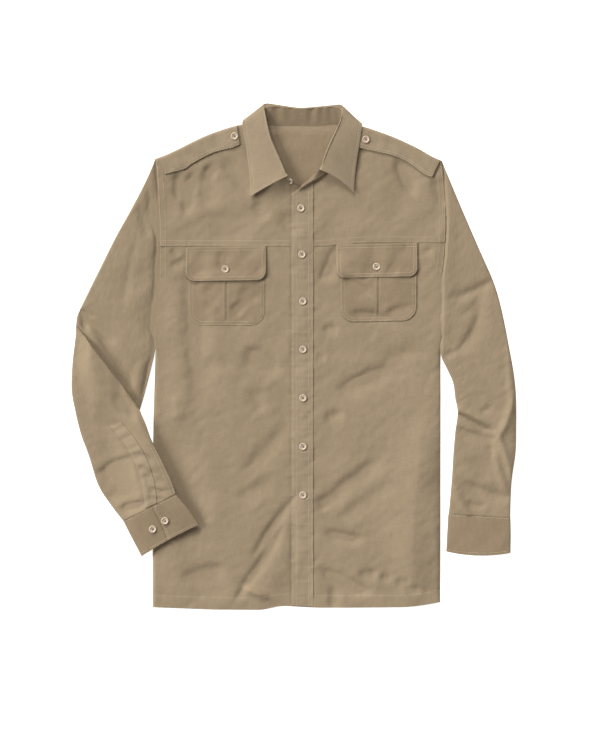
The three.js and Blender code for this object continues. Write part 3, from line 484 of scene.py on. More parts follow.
# %% Creases of the front
FRONT_FOLDS = folds(
    (-188, 226, -176, -128, -2, 12, 11, -1.6, 2),
    (-240, 210, -240, -150, 0, 17, 8, -0.9, 2),
    (60, 192, 25, 122, 3, 9, 6, -2.3, 1.6),
    (-94, 16, -22, -32, 2, 9, 11, -2.2, 2),
    (-80, -48, -66, -104, 0, 8, 8, -1.0, 2),
    (-190, 10, -150, 7, 0, 7, 7, -0.7, 2),
    (-166, -7, -100, -8, 2, 7, 8, -0.7, 2),
    (52, -57, 156, -8, 3, 8, 11, -2.1, 1.8),
    (120, -8, 196, 20, 0, 9, 11, -0.9, 2),
    (38, -98, 76, -86, 0, 7, 8, -1.1, 2),
    (28, 3, 48, 0, 0, 4, 5, -0.8, 2),
    (36, 48, 70, 51, 0, 5, 6, -0.9, 2),
    (218, -10, 222, -180, 0, 9, 22, 1.5, 1.7),
    (190, -60, 164, -440, -6, 22, 24, 2.9, 1.5),
    (-248, -98, -163, -306, 0, 16, 8, -1.9, 2),
    (-208, -56, -205, -116, 0, 8, 8, 1.0, 2),
    (-30, -44, -34, -136, 3, 15, 16, -1.2, 2),
    (-204, 312, -204, 252, 0, 6, 5, -1.6, 1.8),
    (-178, 316, -195, 226, -2, 8, 6, -2.4, 1.7),
    (-159, 314, -160, 238, 0, 10, 8, -1.7, 2),
    (-157, 316, -136, 294, 0, 5, 5, -1.2, 2),
    (-140, 252, -140, 178, 0, 18, 16, -1.3, 2),
    (-134, 334, -76, 252, 5, 7, 8, -1.7, 1.8),
    (-76, 258, -56, 220, 0, 6, 8, -1.3, 2),
    (-30, 240, -8, 190, 0, 7, 8, -1.3, 2),
    (158, 336, 194, 256, -4, 7, 6, -2.0, 1.7),
    (218, 296, 240, 244, 3, 7, 8, -1.5, 2),
    (10, -206, -88, -344, -4, 5, 5, -2.1, 1.5),
    (-20, -266, -119, -416, 1, 5, 5, -2.1, 1.5),
    (-16, -98, -108, -194, 4, 8, 8, -1.1, 2),
    (-40, -188, -118, -232, 5, 8, 9, -1.0, 2),
    (-116, -336, -208, -356, 8, 9, 8, -1.4, 2),
    (-156, -340, -132, -416, 0, 14, 14, -0.9, 2),
    (-26, -350, -32, -450, 0, 14, 17, -1.6, 2),
    (-96, -378, -44, -402, 0, 4, 4, 2.6, 2),
    (-14, -232, -14, -470, 0, 4, 7, -1.3, 2),
    (2, -320, 0, -500, 0, 9, 9, -2.6, 2),
    (164, -192, 50, -274, -3, 9, 10, -1.3, 2),
    (148, -158, 34, -236, -3, 9, 7, -1.2, 2),
    (30, -238, 76, -220, 0, 6, 8, -1.0, 1.8),
    (28, -232, 48, -260, 0, 5, 6, -1.5, 2),
    (36, -284, 118, -300, -4, 6, 6, -1.9, 2),
    (28, -346, 130, -394, -3, 6, 6, -2.9, 1.6),
    (96, -358, 134, -353, 0, 5, 6, -1.1, 2),
    (136, -362, 158, -366, 0, 5, 5, -0.8, 2),
    (160, -372, 190, -376, 3, 5, 6, -0.9, 2),
    (176, -382, 206, -382, 0, 5, 5, -0.8, 2),
    (52, -376, 54, -430, 0, 5, 6, -1.1, 2),
    (-212, 178, -198, 163, 0, 4, 4, -0.7, 2),
    (-218, 150, -188, 166, 0, 4, 5, -0.8, 2),
    (203, 174, 222, 182, 0, 4, 5, -0.8, 2),
)

POCKET_FOLDS = folds(
    (-160, 118, -130, 82, 0, 6, 7, -1.3, 1.8),
    (-96, 118, -62, 88, 0, 6, 7, -1.2, 1.8),
    (-180, 82, -136, 84, 3, 6, 6, -1.1, 2),
    (-112, 86, -92, 66, 0, 8, 7, -1.1, 2),
    (70, 140, 128, 94, 0, 5, 6, -2.4, 1.6),
    (80, 74, 162, 62, 4, 5, 6, -2.2, 1.6),
    (140, 72, 190, 88, 3, 5, 6, -1.3, 1.8),
)

# %% Height of the front
FRONT_TOP = 5.0
HEM_TOP = 4.4
EDGE_DROP = 4.0
EDGE_RADIUS = dict(right=6, left=8, shoulder=4.5)
ARMHOLE_DROP = 0.5
DEEPER = 2.5


def collar_lift(x, y):
    """Front and back rise a little where the collar is folded under them."""
    return 1.7 * ease(338, 356, y) * (1 - ease(104, 128, np.abs(x)))


def under_corner(x, y):
    """The right front is drawn up under the leaf's front corner and falls away from its edge."""
    u = (x + 17.6) * 0.87 + (y - 297) * 0.493
    d = (x + 17.6) * 0.493 - (y - 297) * 0.87
    near = ease(-34, -8, d) * ease(-60, -14, u) * ease(34, 10, u)
    return 12.5 * np.clip(1 - d / 32, 0, 1) ** 2 * near


def hem_fold(x, y):
    """1 in the doubled cloth of the hem, 20 mm tall, and 0 above it."""
    return 1 - ease(20.5, 22, y - hem_y(x))


def front_base(x, y):
    """The front before its creases: level, rounding down at the side seams, shoulders and hem. The
    seam of the right armhole stands 1.1 mm proud over its turned edges."""
    right, left = x - side_x("right", y), side_x("left", y) - x
    depth = EDGE_DROP + (ARMHOLE_DROP - EDGE_DROP) * ease(0, 30, y)
    falling = EDGE_RADIUS["left"] + 15 * ease(0, -70, y) * ease(-330, -220, y)
    at_side = np.maximum(rounded(right, EDGE_RADIUS["right"]), rounded(left, falling))
    turned_edges = ease(9, 1, right) * ease(-30, 30, y) * ease(290, 250, y)
    at_side = depth * at_side - 1.1 * turned_edges
    by_neck = ease(NECK_HALF - 4, NECK_HALF + 2, np.abs(x))
    at_shoulder = EDGE_DROP * rounded(shoulder_y(x) - y, EDGE_RADIUS["shoulder"]) * by_neck
    low = (FRONT_TOP - HEM_TOP) * (1 - ease(0, 42, y - hem_y(x)))
    low = low + 1.2 * ease(4, 0, neck_y(x) - y) * (1 - by_neck)
    lift = collar_lift(x, y) + under_corner(x, y)
    return FRONT_TOP + lift - np.maximum(at_side, at_shoulder) - low


def front_height(x, y):
    """Outer face of the front: the base, its creases, gathers by each seam, and unevenness. The
    placket's five layers are stiff, so the creases are weaker there. No crease reaches the back:
    floor + 0.4 log(1 + e^((height - floor) / 0.4)) is the height well over the floor, 1.5 mm up,
    and the floor itself below it."""
    stiff = ease(-40, -8, x) * ease(54, 22, x)
    creases = DEEPER * fold_height(FRONT_FOLDS, x, y) * (1 - 0.45 * stiff)
    creases = creases + 1.9 * fold_height(POCKET_FOLDS, x, y)
    uneven = 0.5 * ripples(x, y, 75, 3) + 0.2 * ripples(x, y, 27, 5) + 0.07 * ripples(x, y, 13, 6)
    pulled = 0.3 * gathers(y, x - PLACKET_LEFT, 11) + 0.18 * gathers(y, x - PLACKET_RIGHT, 12)
    pulled = pulled + 0.2 * gathers(x, y - chest_y(x), 13)
    pulled = pulled + 0.16 * gathers(x, y - hem_y(x) - 20, 14)
    for side, seed in (("right", 15), ("left", 16)):
        by_armhole = ease(110, 150, y)
        pulled = pulled + 0.2 * by_armhole * gathers(y, x - side_x(side, y), seed)
    height = front_base(x, y) + creases + uneven + pulled
    floor = np.minimum(front_base(x, y), 1.5)
    return floor + 0.4 * np.logaddexp(0, (height - floor) / 0.4)

# %% [markdown]
# ## Fronts and back
# Each front is cut in two: a lower panel, and a chest yoke that laps over it in a felled seam,
# which makes a flat raised strip 11 mm tall. The back is flat on the table, with its own yoke,
# whose inside shows through the neck.

# %% Front panels
UNDERLAP_X = 22
MID_FRONT = 150.0
PITCH = 2.6
FELL = 11


def plan_of_panel(side, inner_x, bottom, top, pitch):
    """x = inner + u (side - inner) and y = bottom + v (top - bottom), repeated until both hold."""
    reach = abs(float(side_x(side, 0.0)) - inner_x)
    shares = 1 - from_edge(reach, pitch) / reach
    shares = shares if side == "right" else shares[::-1]
    tall = float(np.max(top(np.array([inner_x, MID_FRONT])) - bottom(0.0)))
    rows = between_edges(max(tall, 120), pitch)
    v, u = np.meshgrid(rows / rows[-1], shares, indexing="ij")
    y = 0 * u
    for _ in range(6):
        x = inner_x + u * (side_x(side, y) - inner_x)
        y = bottom(x) + v * (top(x) - bottom(x))
    return x, y


def beside_placket(x, y):
    """The stiff placket presses a groove into the cloth along its left edge."""
    return (0.75 + 0.25 * np.sin(y / 13 + 2 * np.sin(y / 31))) * ease(-4, 0, x - PLACKET_LEFT)


def lower_height(x, y):
    """The lower panel dives under the chest yoke, and its hem is doubled."""
    under = 0.8 * ease(-1.5, 0.5, y - chest_y(x)) + beside_placket(x, y)
    line = 0.35 * np.exp(-(((y - hem_y(x) - 20) / 1.3) ** 2))
    return front_height(x, y) + 0.35 * hem_fold(x, y) - line - under


def yoke_height(x, y):
    """The chest yoke: its felled edge stands proud, with a furrow under each row of stitches."""
    up = y - chest_y(x)
    strip = 0.55 * (1 - rounded(up + 0.8, 1.2)) * (1 - ease(3, FELL + 5, up))
    furrows = 0.2 * (np.exp(-(((up - 2) / 0.9) ** 2)) + np.exp(-(((up - 9) / 0.9) ** 2)))
    side = np.minimum(x - side_x("right", y), side_x("left", y) - x)
    seam = 0.4 * (1 - ease(10, 13, side)) - 0.2 * np.exp(-(((side - 9.5) / 1.0) ** 2))
    seam = seam * (1 - rounded(side, 1.2)) - beside_placket(x, y)
    return front_height(x, y) + strip - furrows + seam


for side, inner in (("right", UNDERLAP_X), ("left", PLACKET_RIGHT - 1.5)):
    x, y = plan_of_panel(side, inner, hem_y, lambda x: chest_y(x) + 0.6, PITCH)
    grid = stack(x, y, lower_height(x, y))
    cloth(f"cloth_front_{side}", grid, stack(x, y), f"front_{side}", on=["back"])
    x, y = plan_of_panel(side, inner, lambda x: chest_y(x) - 0.8, neck_y, PITCH)
    grid = stack(x, y, yoke_height(x, y))
    cloth(f"cloth_yoke_{side}", grid, stack(x, y), f"chest_yoke_{side}", on=["back_yoke"])

# %% Back panels
BACK_SEAM = 250
CLOTH = 0.7


def back_top(x):
    """Back neckline between the collar's ends, and the shoulder outside them."""
    rise = ease(50, NECK_HALF, np.abs(x))
    neck = BACK_NECK + 4 + rise * (NECK_TOP - BACK_NECK - 4)
    return np.where(np.abs(x) >= NECK_HALF, shoulder_y(x), neck)


def back_panel(node, bottom, top):
    """A flat panel: u runs from the right side seam to the left one, v from bottom to top."""
    u, v = np.meshgrid(np.linspace(-1, 1, 121), np.linspace(0, 1, 70))
    y = (bottom(0 * u) + top(0 * u)) / 2
    for _ in range(6):
        x = np.where(u < 0, -u * side_x("right", y), u * side_x("left", y))
        y = bottom(x) + v * (top(x) - bottom(x))
    in_neck = ease(262, 290, y) * ease(384, 366, y) * ease(74, 58, np.abs(x))
    lift = collar_lift(x, y) * ease(60, 78, np.abs(x))
    lift = lift + in_neck * (2.6 + 0.3 * ripples(x, y, 40, 21))
    finish = KHAKI_PATCH if node == "back_yoke" else KHAKI
    cloth(f"cloth_{node}", stack(x, y, CLOTH + lift), stack(x, y), node, finish, CLOTH)


back_panel("back", hem_y, lambda x: BACK_SEAM + 0 * x)
back_panel("back_yoke", lambda x: BACK_SEAM + 0.3 + 0 * x, back_top)

# %% [markdown]
# ## Placket, pockets, flaps and straps
# Each is a doubled or lined patch that is sewn flat and rounds over at its edges. A box with a
# bevel would ignore the creases below it, so each takes the front's height and adds its own: a
# thickness, a rounded edge, a furrow under each row of stitches, and the fullness of a pocket.

# %% Placket
def furrow(distance, depth=0.22, width=0.9):
    """The groove that a row of stitches presses into cloth."""
    return depth * np.exp(-((distance / width) ** 2))


BUTTONS = sorted(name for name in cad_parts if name.startswith("button_"))


def pressed_by_buttons(x, y):
    """The cloth dips in a ring 1.3 mm wide where a button is drawn down onto it."""
    total = 0
    for name in BUTTONS:
        low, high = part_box(name)
        away = np.hypot(x - (low[0] + high[0]) / 2 / MM, y - (low[1] + high[1]) / 2 / MM)
        total = total + 0.7 * np.exp(-(((away - 6.2) / 1.3) ** 2))
    return total


PLACKET_ROWS = (-8.6, -1.8, 17.6, 23.4)


def placket_top(x):
    """The placket ends at the collar stand, on a line that rises to the left front."""
    return np.minimum(neck_y(x), 269 + 0.68 * (x + 10.5))


def placket_height(x, y):
    """The placket's left edge steps up 0.6 mm and its right edge 0.15 mm, to 0.7 mm in its middle,
    with four furrows and small gathers between them."""
    edge = np.minimum(x - PLACKET_LEFT, PLACKET_RIGHT - x)
    sewn = sum(furrow(x - at, 0.16) for at in PLACKET_ROWS)
    waves = 0.3 * gathers(y, x - 12, 31, pitch=6, reach=16)
    step = 0.6 - 0.45 * ease(0, 20, x)
    full = ease(0, 7 + 22 * ease(0, 20, x), edge)
    proud = step * (1 - rounded(edge, 0.4)) + (0.7 - step) * full
    return front_height(x, y) + proud - sewn + waves - pressed_by_buttons(x, y)


across = PLACKET_LEFT + between_edges(PLACKET_RIGHT - PLACKET_LEFT, 1.1)
x, v = np.meshgrid(across, np.linspace(0, 1, 281))
y = hem_y(x) + v * (placket_top(x) - hem_y(x))
cloth("cloth_placket", stack(x, y, placket_height(x, y)), stack(x, y), "placket", KHAKI_FIRM)

# %% Pockets
POCKETS = {
    "right": dict(x=-118.5, width=127, top=176, bottom=50.5, corner=24, tilt=0),
    "left": dict(x=133.5, width=126.5, top=181, bottom=57.3, corner=24, tilt=0.02),
}
FLAPS = {
    "right": dict(x=-119.3, width=133.6, top=181.4, bottom=124.1, corner=16, tilt=0.014),
    "left": dict(x=131, width=135, top=186.6, bottom=130, corner=15, tilt=0.02),
}
FLAP_LIFT = dict(right=1.9, left=0.6)
FLAP_FOLDS = folds(
    (-166, 182, -164, 126, 0, 9, 7, -1.1, 2),
    (-132, 180, -133, 136, 0, 7, 6, -0.9, 2),
    (98, 142, 132, 162, -6, 6, 6, -1.0, 2),
    (166, 188, 196, 148, 0, 6, 6, -0.6, 2),
    (148, 152, 168, 138, 0, 5, 6, -0.9, 2),
)


def patch_plan(patch, pitch):
    """A rectangle with two rounded lower corners: at a rise r above its bottom it is narrower by
    corner - sqrt(corner^2 - (corner - r)^2) on each side."""
    tall = patch["top"] - patch["bottom"]
    rise = between_edges(tall, pitch)[:, None]
    share = between_edges(patch["width"], pitch)[None, :] / patch["width"] * 2 - 1
    missing = np.clip(patch["corner"] - rise, 0, None)
    half = patch["width"] / 2 - patch["corner"] + np.sqrt(patch["corner"] ** 2 - missing**2)
    x = patch["x"] + share * half
    return x, patch["bottom"] + rise + patch["tilt"] * share * half


def patch_edge(patch, x, y):
    """Distance inside the patch's sides, bottom and rounded corners, and distance below its top."""
    across = np.abs(x - patch["x"])
    up = y - patch["tilt"] * (x - patch["x"]) - patch["bottom"]
    out_x = across - (patch["width"] / 2 - patch["corner"])
    out_y = patch["corner"] - up
    corner = patch["corner"] - np.hypot(out_x, out_y)
    straight = np.minimum(patch["width"] / 2 - across, up)
    edge = np.where((out_x > 0) & (out_y > 0), corner, straight)
    return edge, patch["top"] - patch["bottom"] - up


def pocket_height(side, x, y):
    """A pocket: sewn down round its edge, full in the middle, with a pleat down its centre line."""
    patch = POCKETS[side]
    edge, below = patch_edge(patch, x, y)
    tucked = ease(2, 34, below)
    full = 0.9 * ease(0, 34, edge) * ease(0, 60, y - patch["bottom"]) * tucked
    body = 0.6 * (1 - rounded(edge, 0.9)) + full - furrow(edge - 1.7) - furrow(edge - 6.6)
    from_pleat = x - patch["x"]
    pleat = ease(6, 14, edge) * (1.1 * np.exp(-((from_pleat / 0.9) ** 2)))
    lip = 0.5 * ease(6, 14, edge) * np.exp(-(((from_pleat + 3) / 2.5) ** 2)) * tucked
    sewn = 0.3 * gathers(x + y, edge - 4, 41, pitch=8, reach=6)
    return front_height(x, y) + body - pleat + lip + sewn - 0.6 * (1 - tucked)


def flap_height(side, x, y):
    """A flap: sewn along its top, lying on the pocket, with its free edge lifted a little."""
    patch = FLAPS[side]
    edge, below = patch_edge(patch, x, y)
    over_pocket = 1.5 * ease(0, 30, below)
    lifted = FLAP_LIFT[side] * ease(20, 0, edge) * ease(5, 50, below)
    body = 1.5 * (1 - 0.9 * rounded(edge, 2.2)) - furrow(edge - 1.6, 0.1) - furrow(edge - 7)
    top = -furrow(below - 1.8) - furrow(below - 6.5) - 1.0 * rounded(below, 1.2)
    waves = 0.4 * ripples(x, y, 40, 51) + 0.22 * gathers(x + y, edge - 4, 52)
    waves = waves + 1.8 * fold_height(FLAP_FOLDS, x, y) - pressed_by_buttons(x, y)
    return front_height(x, y) + over_pocket + lifted + body + top + waves


for side in ("right", "left"):
    x, y = patch_plan(POCKETS[side], 1.9)
    grid, pocket = stack(x, y, pocket_height(side, x, y)), f"pocket_{side}"
    cloth(f"cloth_{pocket}", grid, stack(x, y), pocket, KHAKI_PATCH)
    x, y = patch_plan(FLAPS[side], 1.9)
    grid, flap = stack(x, y, flap_height(side, x, y)), f"pocket_flap_{side}"
    cloth(f"cloth_flap_{side}", grid, stack(x, y), flap, KHAKI_PATCH, 1.3, on=[pocket])

# %% Shoulder straps
STRAP_LONG, STRAP_WIDE = 140, 33
STRAPS = {
    "right": table(
        "x y topX",
        (-220, 301, -231),
        (-204, 305, -213),
        (-186.6, 310, -194),
        (-175.8, 318, -182),
        (-147, 333.5, -156),
        (-129, 339.8, -137),
        (-109.2, 344.3, -116),
        (-96, 350, -101),
    ),
    "left": table(
        "x y topX",
        (222.6, 296, 236),
        (210, 300.3, 221),
        (193.7, 312.5, 205),
        (177.6, 323.5, 188),
        (157.7, 331.7, 168),
        (130.8, 338, 141),
        (112, 342, 121),
        (96, 346, 103),
    ),
}


def strap_plan(side, t, s):
    """t runs from the sleeve to the collar, s from the lower edge to the shoulder line."""
    row = along(STRAPS[side], t)
    top = shoulder_y(row["topX"])
    return row["x"] + s * (row["topX"] - row["x"]), row["y"] + s * (top - row["y"])


def strap_height(side, x, y, t, s):
    """A lined strap lying on the yoke, rounded along its lower edge and at both of its ends."""
    low = s * STRAP_WIDE
    ends = np.minimum(t, 1 - t) * STRAP_LONG
    edge = np.minimum(low, ends)
    body = 2.5 * (1 - 0.7 * rounded(edge, 1.4)) - furrow(low - 1.6) - furrow(low - 6)
    waves = 0.5 * ripples(x, y, 34, 61) * ease(0, 12, edge) - pressed_by_buttons(x, y)
    return front_height(x, y) + body + waves


for side in ("right", "left"):
    up = np.r_[from_edge(STRAP_WIDE - 6, 1.8) / STRAP_WIDE, 1 - EDGE_STEPS[::-1] / STRAP_WIDE]
    t, s = np.meshgrid(between_edges(STRAP_LONG, 2.0) / STRAP_LONG, up)
    x, y = strap_plan(side, t, s)
    grid = stack(x, y, strap_height(side, x, y, t, s))
    if side == "left":
        grid, t = grid[:, ::-1], t[:, ::-1]
    weave = stack(t * STRAP_LONG, s * STRAP_WIDE)
    node = f"shoulder_strap_{side}"
    cloth(f"cloth_strap_{side}", grid, weave, node, KHAKI_FIRM, 1.2, on=[f"chest_yoke_{side}"])

# %% [markdown]
# ## Sleeves
# A sleeve is a tube pressed flat: two layers that turn round a fold at each edge. A circle scaled
# flat would bulge in the middle, so its section is a superellipse, almost level with tight turns.
# The right sleeve is bent: its upper arm ends in the fold at the elbow, and the forearm comes back
# over the body's edge.

# %% Sleeve tables
SECTION_COLUMNS = "outerX outerY innerX innerY bow"
LEFT_SLEEVE = table(
    SECTION_COLUMNS,
    (238.2, 324.5, 237, 133, 7.2),
    (268.9, 250.7, 236.6, 93, 4),
    (298.5, 182, 235.6, 43, 2),
    (324, 123.8, 236.8, 3, 0),
    (337.6, 77.4, 247.3, -21.6, 0),
    (351.1, 10, 257.1, -44.5, 0),
    (358.6, -33.2, 260.6, -69.7, 0),
    (361.9, -71.4, 264.6, -94, 0),
    (362, -119.5, 260.6, -126.2, 0),
    (360.9, -160.2, 257.3, -164.3, 0),
    (354.1, -211, 254.8, -205.8, 0),
    (351.9, -268.3, 249.8, -262, 0),
)
LEFT_CUFF = table(
    SECTION_COLUMNS,
    (352.4, -268.9, 249, -262.6, 0),
    (352.9, -298, 247.3, -293.5, 3),
    (352.4, -326.7, 245.7, -324.2, 5.5),
)
RIGHT_UPPER_ARM = table(
    SECTION_COLUMNS,
    (-236.4, 327.9, -227.8, 122.8, -3),
    (-252.7, 290, -228.6, 106, -1),
    (-278.9, 239.9, -230.4, 83, 0),
    (-302.1, 198.2, -232.4, 49.8, 0),
    (-325.4, 151.6, -235.6, 16.6, 0),
    (-348.6, 104.9, -245.4, -27.6, 0),
    (-365.2, 69.7, -260.4, -83, 0),
    (-368, 56, -269.4, -104, 0),
    (-369, 40, -277, -109, 0),
)
RIGHT_FOREARM = table(
    SECTION_COLUMNS,
    (-366.9, 52, -263.9, -85.5, 0),
    (-370.3, 24.1, -252.3, -111.2, 0),
    (-374.7, -14.9, -243.4, -136.1, 0),
    (-375.8, -56.4, -233.2, -156.9, 0),
    (-369.4, -93, -224.1, -174.3, 0),
    (-360.6, -128.6, -217.5, -187.6, 0),
    (-347.8, -163.7, -210.8, -201.7, 0),
    (-331.5, -214, -205.8, -213.5, 0),
    (-310.2, -247.2, -203.4, -221.5, 0),
    (-289.8, -273, -201.7, -228, 0),
)
RIGHT_CUFF = table(
    SECTION_COLUMNS,
    (-289.4, -273.8, -200.9, -229, 0),
    (-274.5, -303, -180, -254, 0),
    (-259, -332, -163, -279, -2.5),
)

# %% Creases of the sleeves
SLEEVE_FOLDS = folds(
    (-254, 286, -228, 178, -2, 7, 6, -1.9, 1.8),
    (-270, 262, -250, 186, 0, 7, 7, -1.0, 2),
    (-268, 214, -298, 66, -2, 4, 4, -0.5, 2),
    (-234, 250, -240, -20, 0, 8, 8, -1.9, 2),
    (-250, 120, -256, 20, 0, 9, 10, -0.8, 2),
    (-362, 88, -356, 34, 0, 5, 4, -1.6, 1.8),
    (-374, 78, -326, 66, 0, 3, 3, -0.8, 2),
    (-356, 72, -292, 14, -4, 4, 4, -1.5, 1.6),
    (-350, 52, -318, 24, 0, 4, 4, 0.7, 2),
    (-356, 66, -256, -92, 3, 6, 3, -1.4, 2),
    (-245, 12, -264, -98, -2, 4, 4, -1.7, 1.6),
    (-262, 4, -284, -76, 0, 6, 6, 0.8, 2),
    (-349, 54, -343, -132, 2, 8, 8, 1.0, 2),
    (-304, 4, -297, -112, 0, 9, 8, -1.2, 1.7),
    (-312, -62, -262, -112, 0, 5, 8, -1.3, 1.7),
    (-272, -78, -228, -168, 0, 3, 3, -0.8, 1.7),
    (-326, -118, -290, -104, 2, 3, 3, -0.45, 2),
    (-316, -130, -282, -112, 2, 3, 3, -0.4, 2),
    (-300, -140, -268, -126, 2, 3, 3, -0.35, 2),
    (-294, -154, -262, -142, -2, 3, 3, -0.45, 2),
    (-280, -170, -250, -158, 0, 3, 3, -0.35, 2),
    (-352, -200, -258, -151, 0, 4, 7, -1.4, 1.5),
    (-322, -170, -262, -246, 0, 12, 14, -1.7, 2),
    (-322, -176, -266, -196, 0, 9, 9, -0.9, 2),
    (-276, -160, -234, -178, 4, 4, 4, -0.9, 2),
    (-270, -176, -228, -196, -3, 4, 4, -1.0, 2),
    (-262, -196, -218, -212, 3, 4, 4, -1.0, 2),
    (-252, -214, -210, -224, -2, 3, 4, -0.8, 2),
    (-256, -232, -214, -236, 0, 3, 4, -0.7, 2),
    (-302, -250, -246, -236, 0, 5, 6, -2.0, 2),
    (-326, -236, -284, -206, 0, 6, 6, -0.7, 2),
    (332, 139, 238, 100, 7, 5, 5, -1.4, 1.7),
    (306, 122, 256, 66, 9, 7, 6, -0.8, 2),
    (298, 96, 246, 0, 12, 7, 6, -1.3, 1.9),
    (234, 2, 262, 14, 0, 4, 4, -0.8, 2),
    (250, -86, 330, -127, 0, 1.6, 4, -2.2, 1.4),
    (244, -74, 330, -118, 0, 4, 3, 1.0, 1.6),
    (250, -112, 334, -138, -3, 4, 6, -1.0, 2),
    (322, -76, 298, -92, 0, 4, 4, -0.6, 2),
    (280, -112, 322, -178, 16, 6, 6, -0.8, 2),
    (270, -170, 318, -214, 8, 6, 6, -0.8, 2),
    (264, -200, 364, -234, -6, 6, 7, -1.5, 1.8),
    (276, -238, 316, -244, -4, 4, 4, -0.9, 2),
    (252, -188, 296, -282, -10, 4, 5, 0.8, 2),
    (344, 40, 352, -104, 0, 5, 5, 1.0, 2),
    (358, -42, 318, -150, 6, 4, 5, 1.6, 1.8),
    (318, -106, 364, -236, 2, 4, 5, 1.7, 1.8),
    (322, -140, 350, -240, -6, 4, 5, 1.2, 2),
    (357, 10, 357, -230, 4, 8, 5, -1.5, 1.8),
)


def sleeve_relief(x, y):
    """Creases of both sleeves, with a fine unevenness over them."""
    uneven = 0.45 * ripples(x, y, 60, 71) + 0.2 * ripples(x, y, 24, 72)
    uneven = uneven + 0.06 * ripples(x, y, 12, 73)
    return np.maximum(DEEPER * fold_height(SLEEVE_FOLDS, x, y) + uneven, -3.6)


# %% Flattened tubes
SLEEVE_TALL = 5.0


def across_tube(sections, t):
    """A section at a share t along a tube: its row, its way across and its width."""
    row = along(sections, t)
    dx, dy = row["innerX"] - row["outerX"], row["innerY"] - row["outerY"]
    return row, dx, dy, np.hypot(dx, dy)


def tube_place(sections, t, s, turn):
    """Plan of a section at a share t along and s across: a straight line that bows sideways."""
    row, dx, dy, width = across_tube(sections, t)
    push = row["bow"] * 4 * s * (1 - s) / width
    return row["outerX"] + dx * s + turn * dy * push, row["outerY"] + dy * s - turn * dx * push


def tube_point(sections, t, s, top, turn, rest, relief):
    """Height is the resting height plus half the tube's, times 1 +- (1 - |2s - 1|^p)^(1/p)."""
    x, y = tube_place(sections, t, s, turn)
    off = np.abs(2 * s - 1)
    power = np.where(top, 5, 12)
    swell = (1 - off**power) ** (1 / power)
    up = np.where(top, 1, -1) * SLEEVE_TALL / 2 * swell
    up = up + np.where(top, relief(x, y, t, s), 0) * swell
    return x, y, rest(x, y) + SLEEVE_TALL / 2 + up


def ring_shares(count, under, extra=()):
    """Places round a flattened tube: over the top, close at the folds, then back below."""
    even_steps = np.linspace(0, 1, count)
    over = np.sort(np.r_[even_steps - np.sin(6.2832 * even_steps) * 0.08, extra])
    below = np.linspace(1, 0, under)[1:-1]
    low = below + np.sin(6.2832 * below) * -0.08
    return np.r_[over, low], np.r_[np.ones(len(over), bool), np.zeros(len(low), bool)]

# %% [markdown]
# The left sleeve and the upper arm lie on the table. The forearm climbs over the body's edge and
# over the upper arm, so its resting height is a function of x and y too.

# %% Where the sleeves rest
def on_table(x, y):
    return 0 * x


def forearm_rest(x, y):
    """The folded forearm lies on the table, climbs the body's edge, and lies on the upper arm."""
    on_body = (13 - 6.5 * ease(-235, -315, y)) * ease(-326, -246, x)
    first, dx, dy, length = across_tube(RIGHT_FOREARM, 0)
    run = ((x - first["outerX"]) * dx + (y - first["outerY"]) * dy) / length
    past = ((x - first["outerX"]) * dy - (y - first["outerY"]) * dx) / length
    on_arm = 9.4 * ease(4, 46, run - np.maximum(0, past)) * (1 - ease(20, 64, past))
    return np.maximum(on_body, on_arm)


# %% A whole tube
ENDS = {
    "open": table("past squeeze", (0, 1)),
    "tucked": table("past squeeze", (7, 0.5), (3, 0.55), (1, 0.7), (0, 0.85)),
    "folded": table(
        "past squeeze", (0, 0.02), (-0.15, 0.35), (-0.5, 0.62), (-1.2, 0.87), (-2.2, 1)
    ),
}


def tube_rows(sections, count, start, end):
    """Shares along a tube, the distance past its ends and the squeeze of its height there: a
    tucked end runs on under its neighbour, a folded one closes in a round edge."""
    row = along(sections, np.linspace(0, 1, 60))
    middle = stack(row["innerX"] + row["outerX"], row["innerY"] + row["outerY"]) / 2
    inset = 3.5 / np.linalg.norm(np.diff(middle, axis=0), axis=1).sum()
    low, high = (inset if kind == "folded" else 0.004 for kind in (start, end))
    first, last = ENDS[start], ENDS[end]
    size = len(first["past"]), len(last["past"])
    t = np.r_[np.zeros(size[0]), np.linspace(low, 1 - high, count), np.ones(size[1])]
    past = np.r_[first["past"], np.zeros(count), last["past"][::-1]]
    squeeze = np.r_[first["squeeze"], np.ones(count), last["squeeze"][::-1]]
    return t[:, None], past[:, None], squeeze[:, None]


def tube(name, sections, count, turn, node, ends, relief, rest=on_table, **other):
    """A flattened tube of cloth whose outer faces point outwards on either side of the body."""
    shares, top = other.pop("ring", ring_shares(50, 22))
    t, past, squeeze = tube_rows(sections, count, *ends)
    s, top = shares[None, :], top[None, :]
    x, y, z = tube_point(sections, t, s, top, turn, rest, relief)
    row, dx, dy, width = across_tube(sections, t)
    outwards = np.where(t > 0.5, 1, -1) * turn * past / width
    x, y = x + dy * outwards, y - dx * outwards
    middle = rest(x, y) + SLEEVE_TALL / 2
    z = middle + (z - middle) * squeeze
    run = np.hypot(np.diff(x[:, 10]), np.diff(y[:, 10]))
    down = np.concatenate([[0], np.cumsum(run)])[:, None]
    weave = stack(np.where(top, s, 2 - s) * width.mean(), down)
    grid = stack(x, y, z)
    if turn > 0:
        grid, weave = grid[::-1], weave[::-1]
    cloth(name, grid, weave, node, wrap=True, **other)


# %% The upper sides of the sleeves
STRIP = dict(x1=-302, y1=-114, x2=-243, y2=-247, width=20, bow=14, long=145)
STRIP_WAY = STRIP["x2"] - STRIP["x1"], STRIP["y2"] - STRIP["y1"]


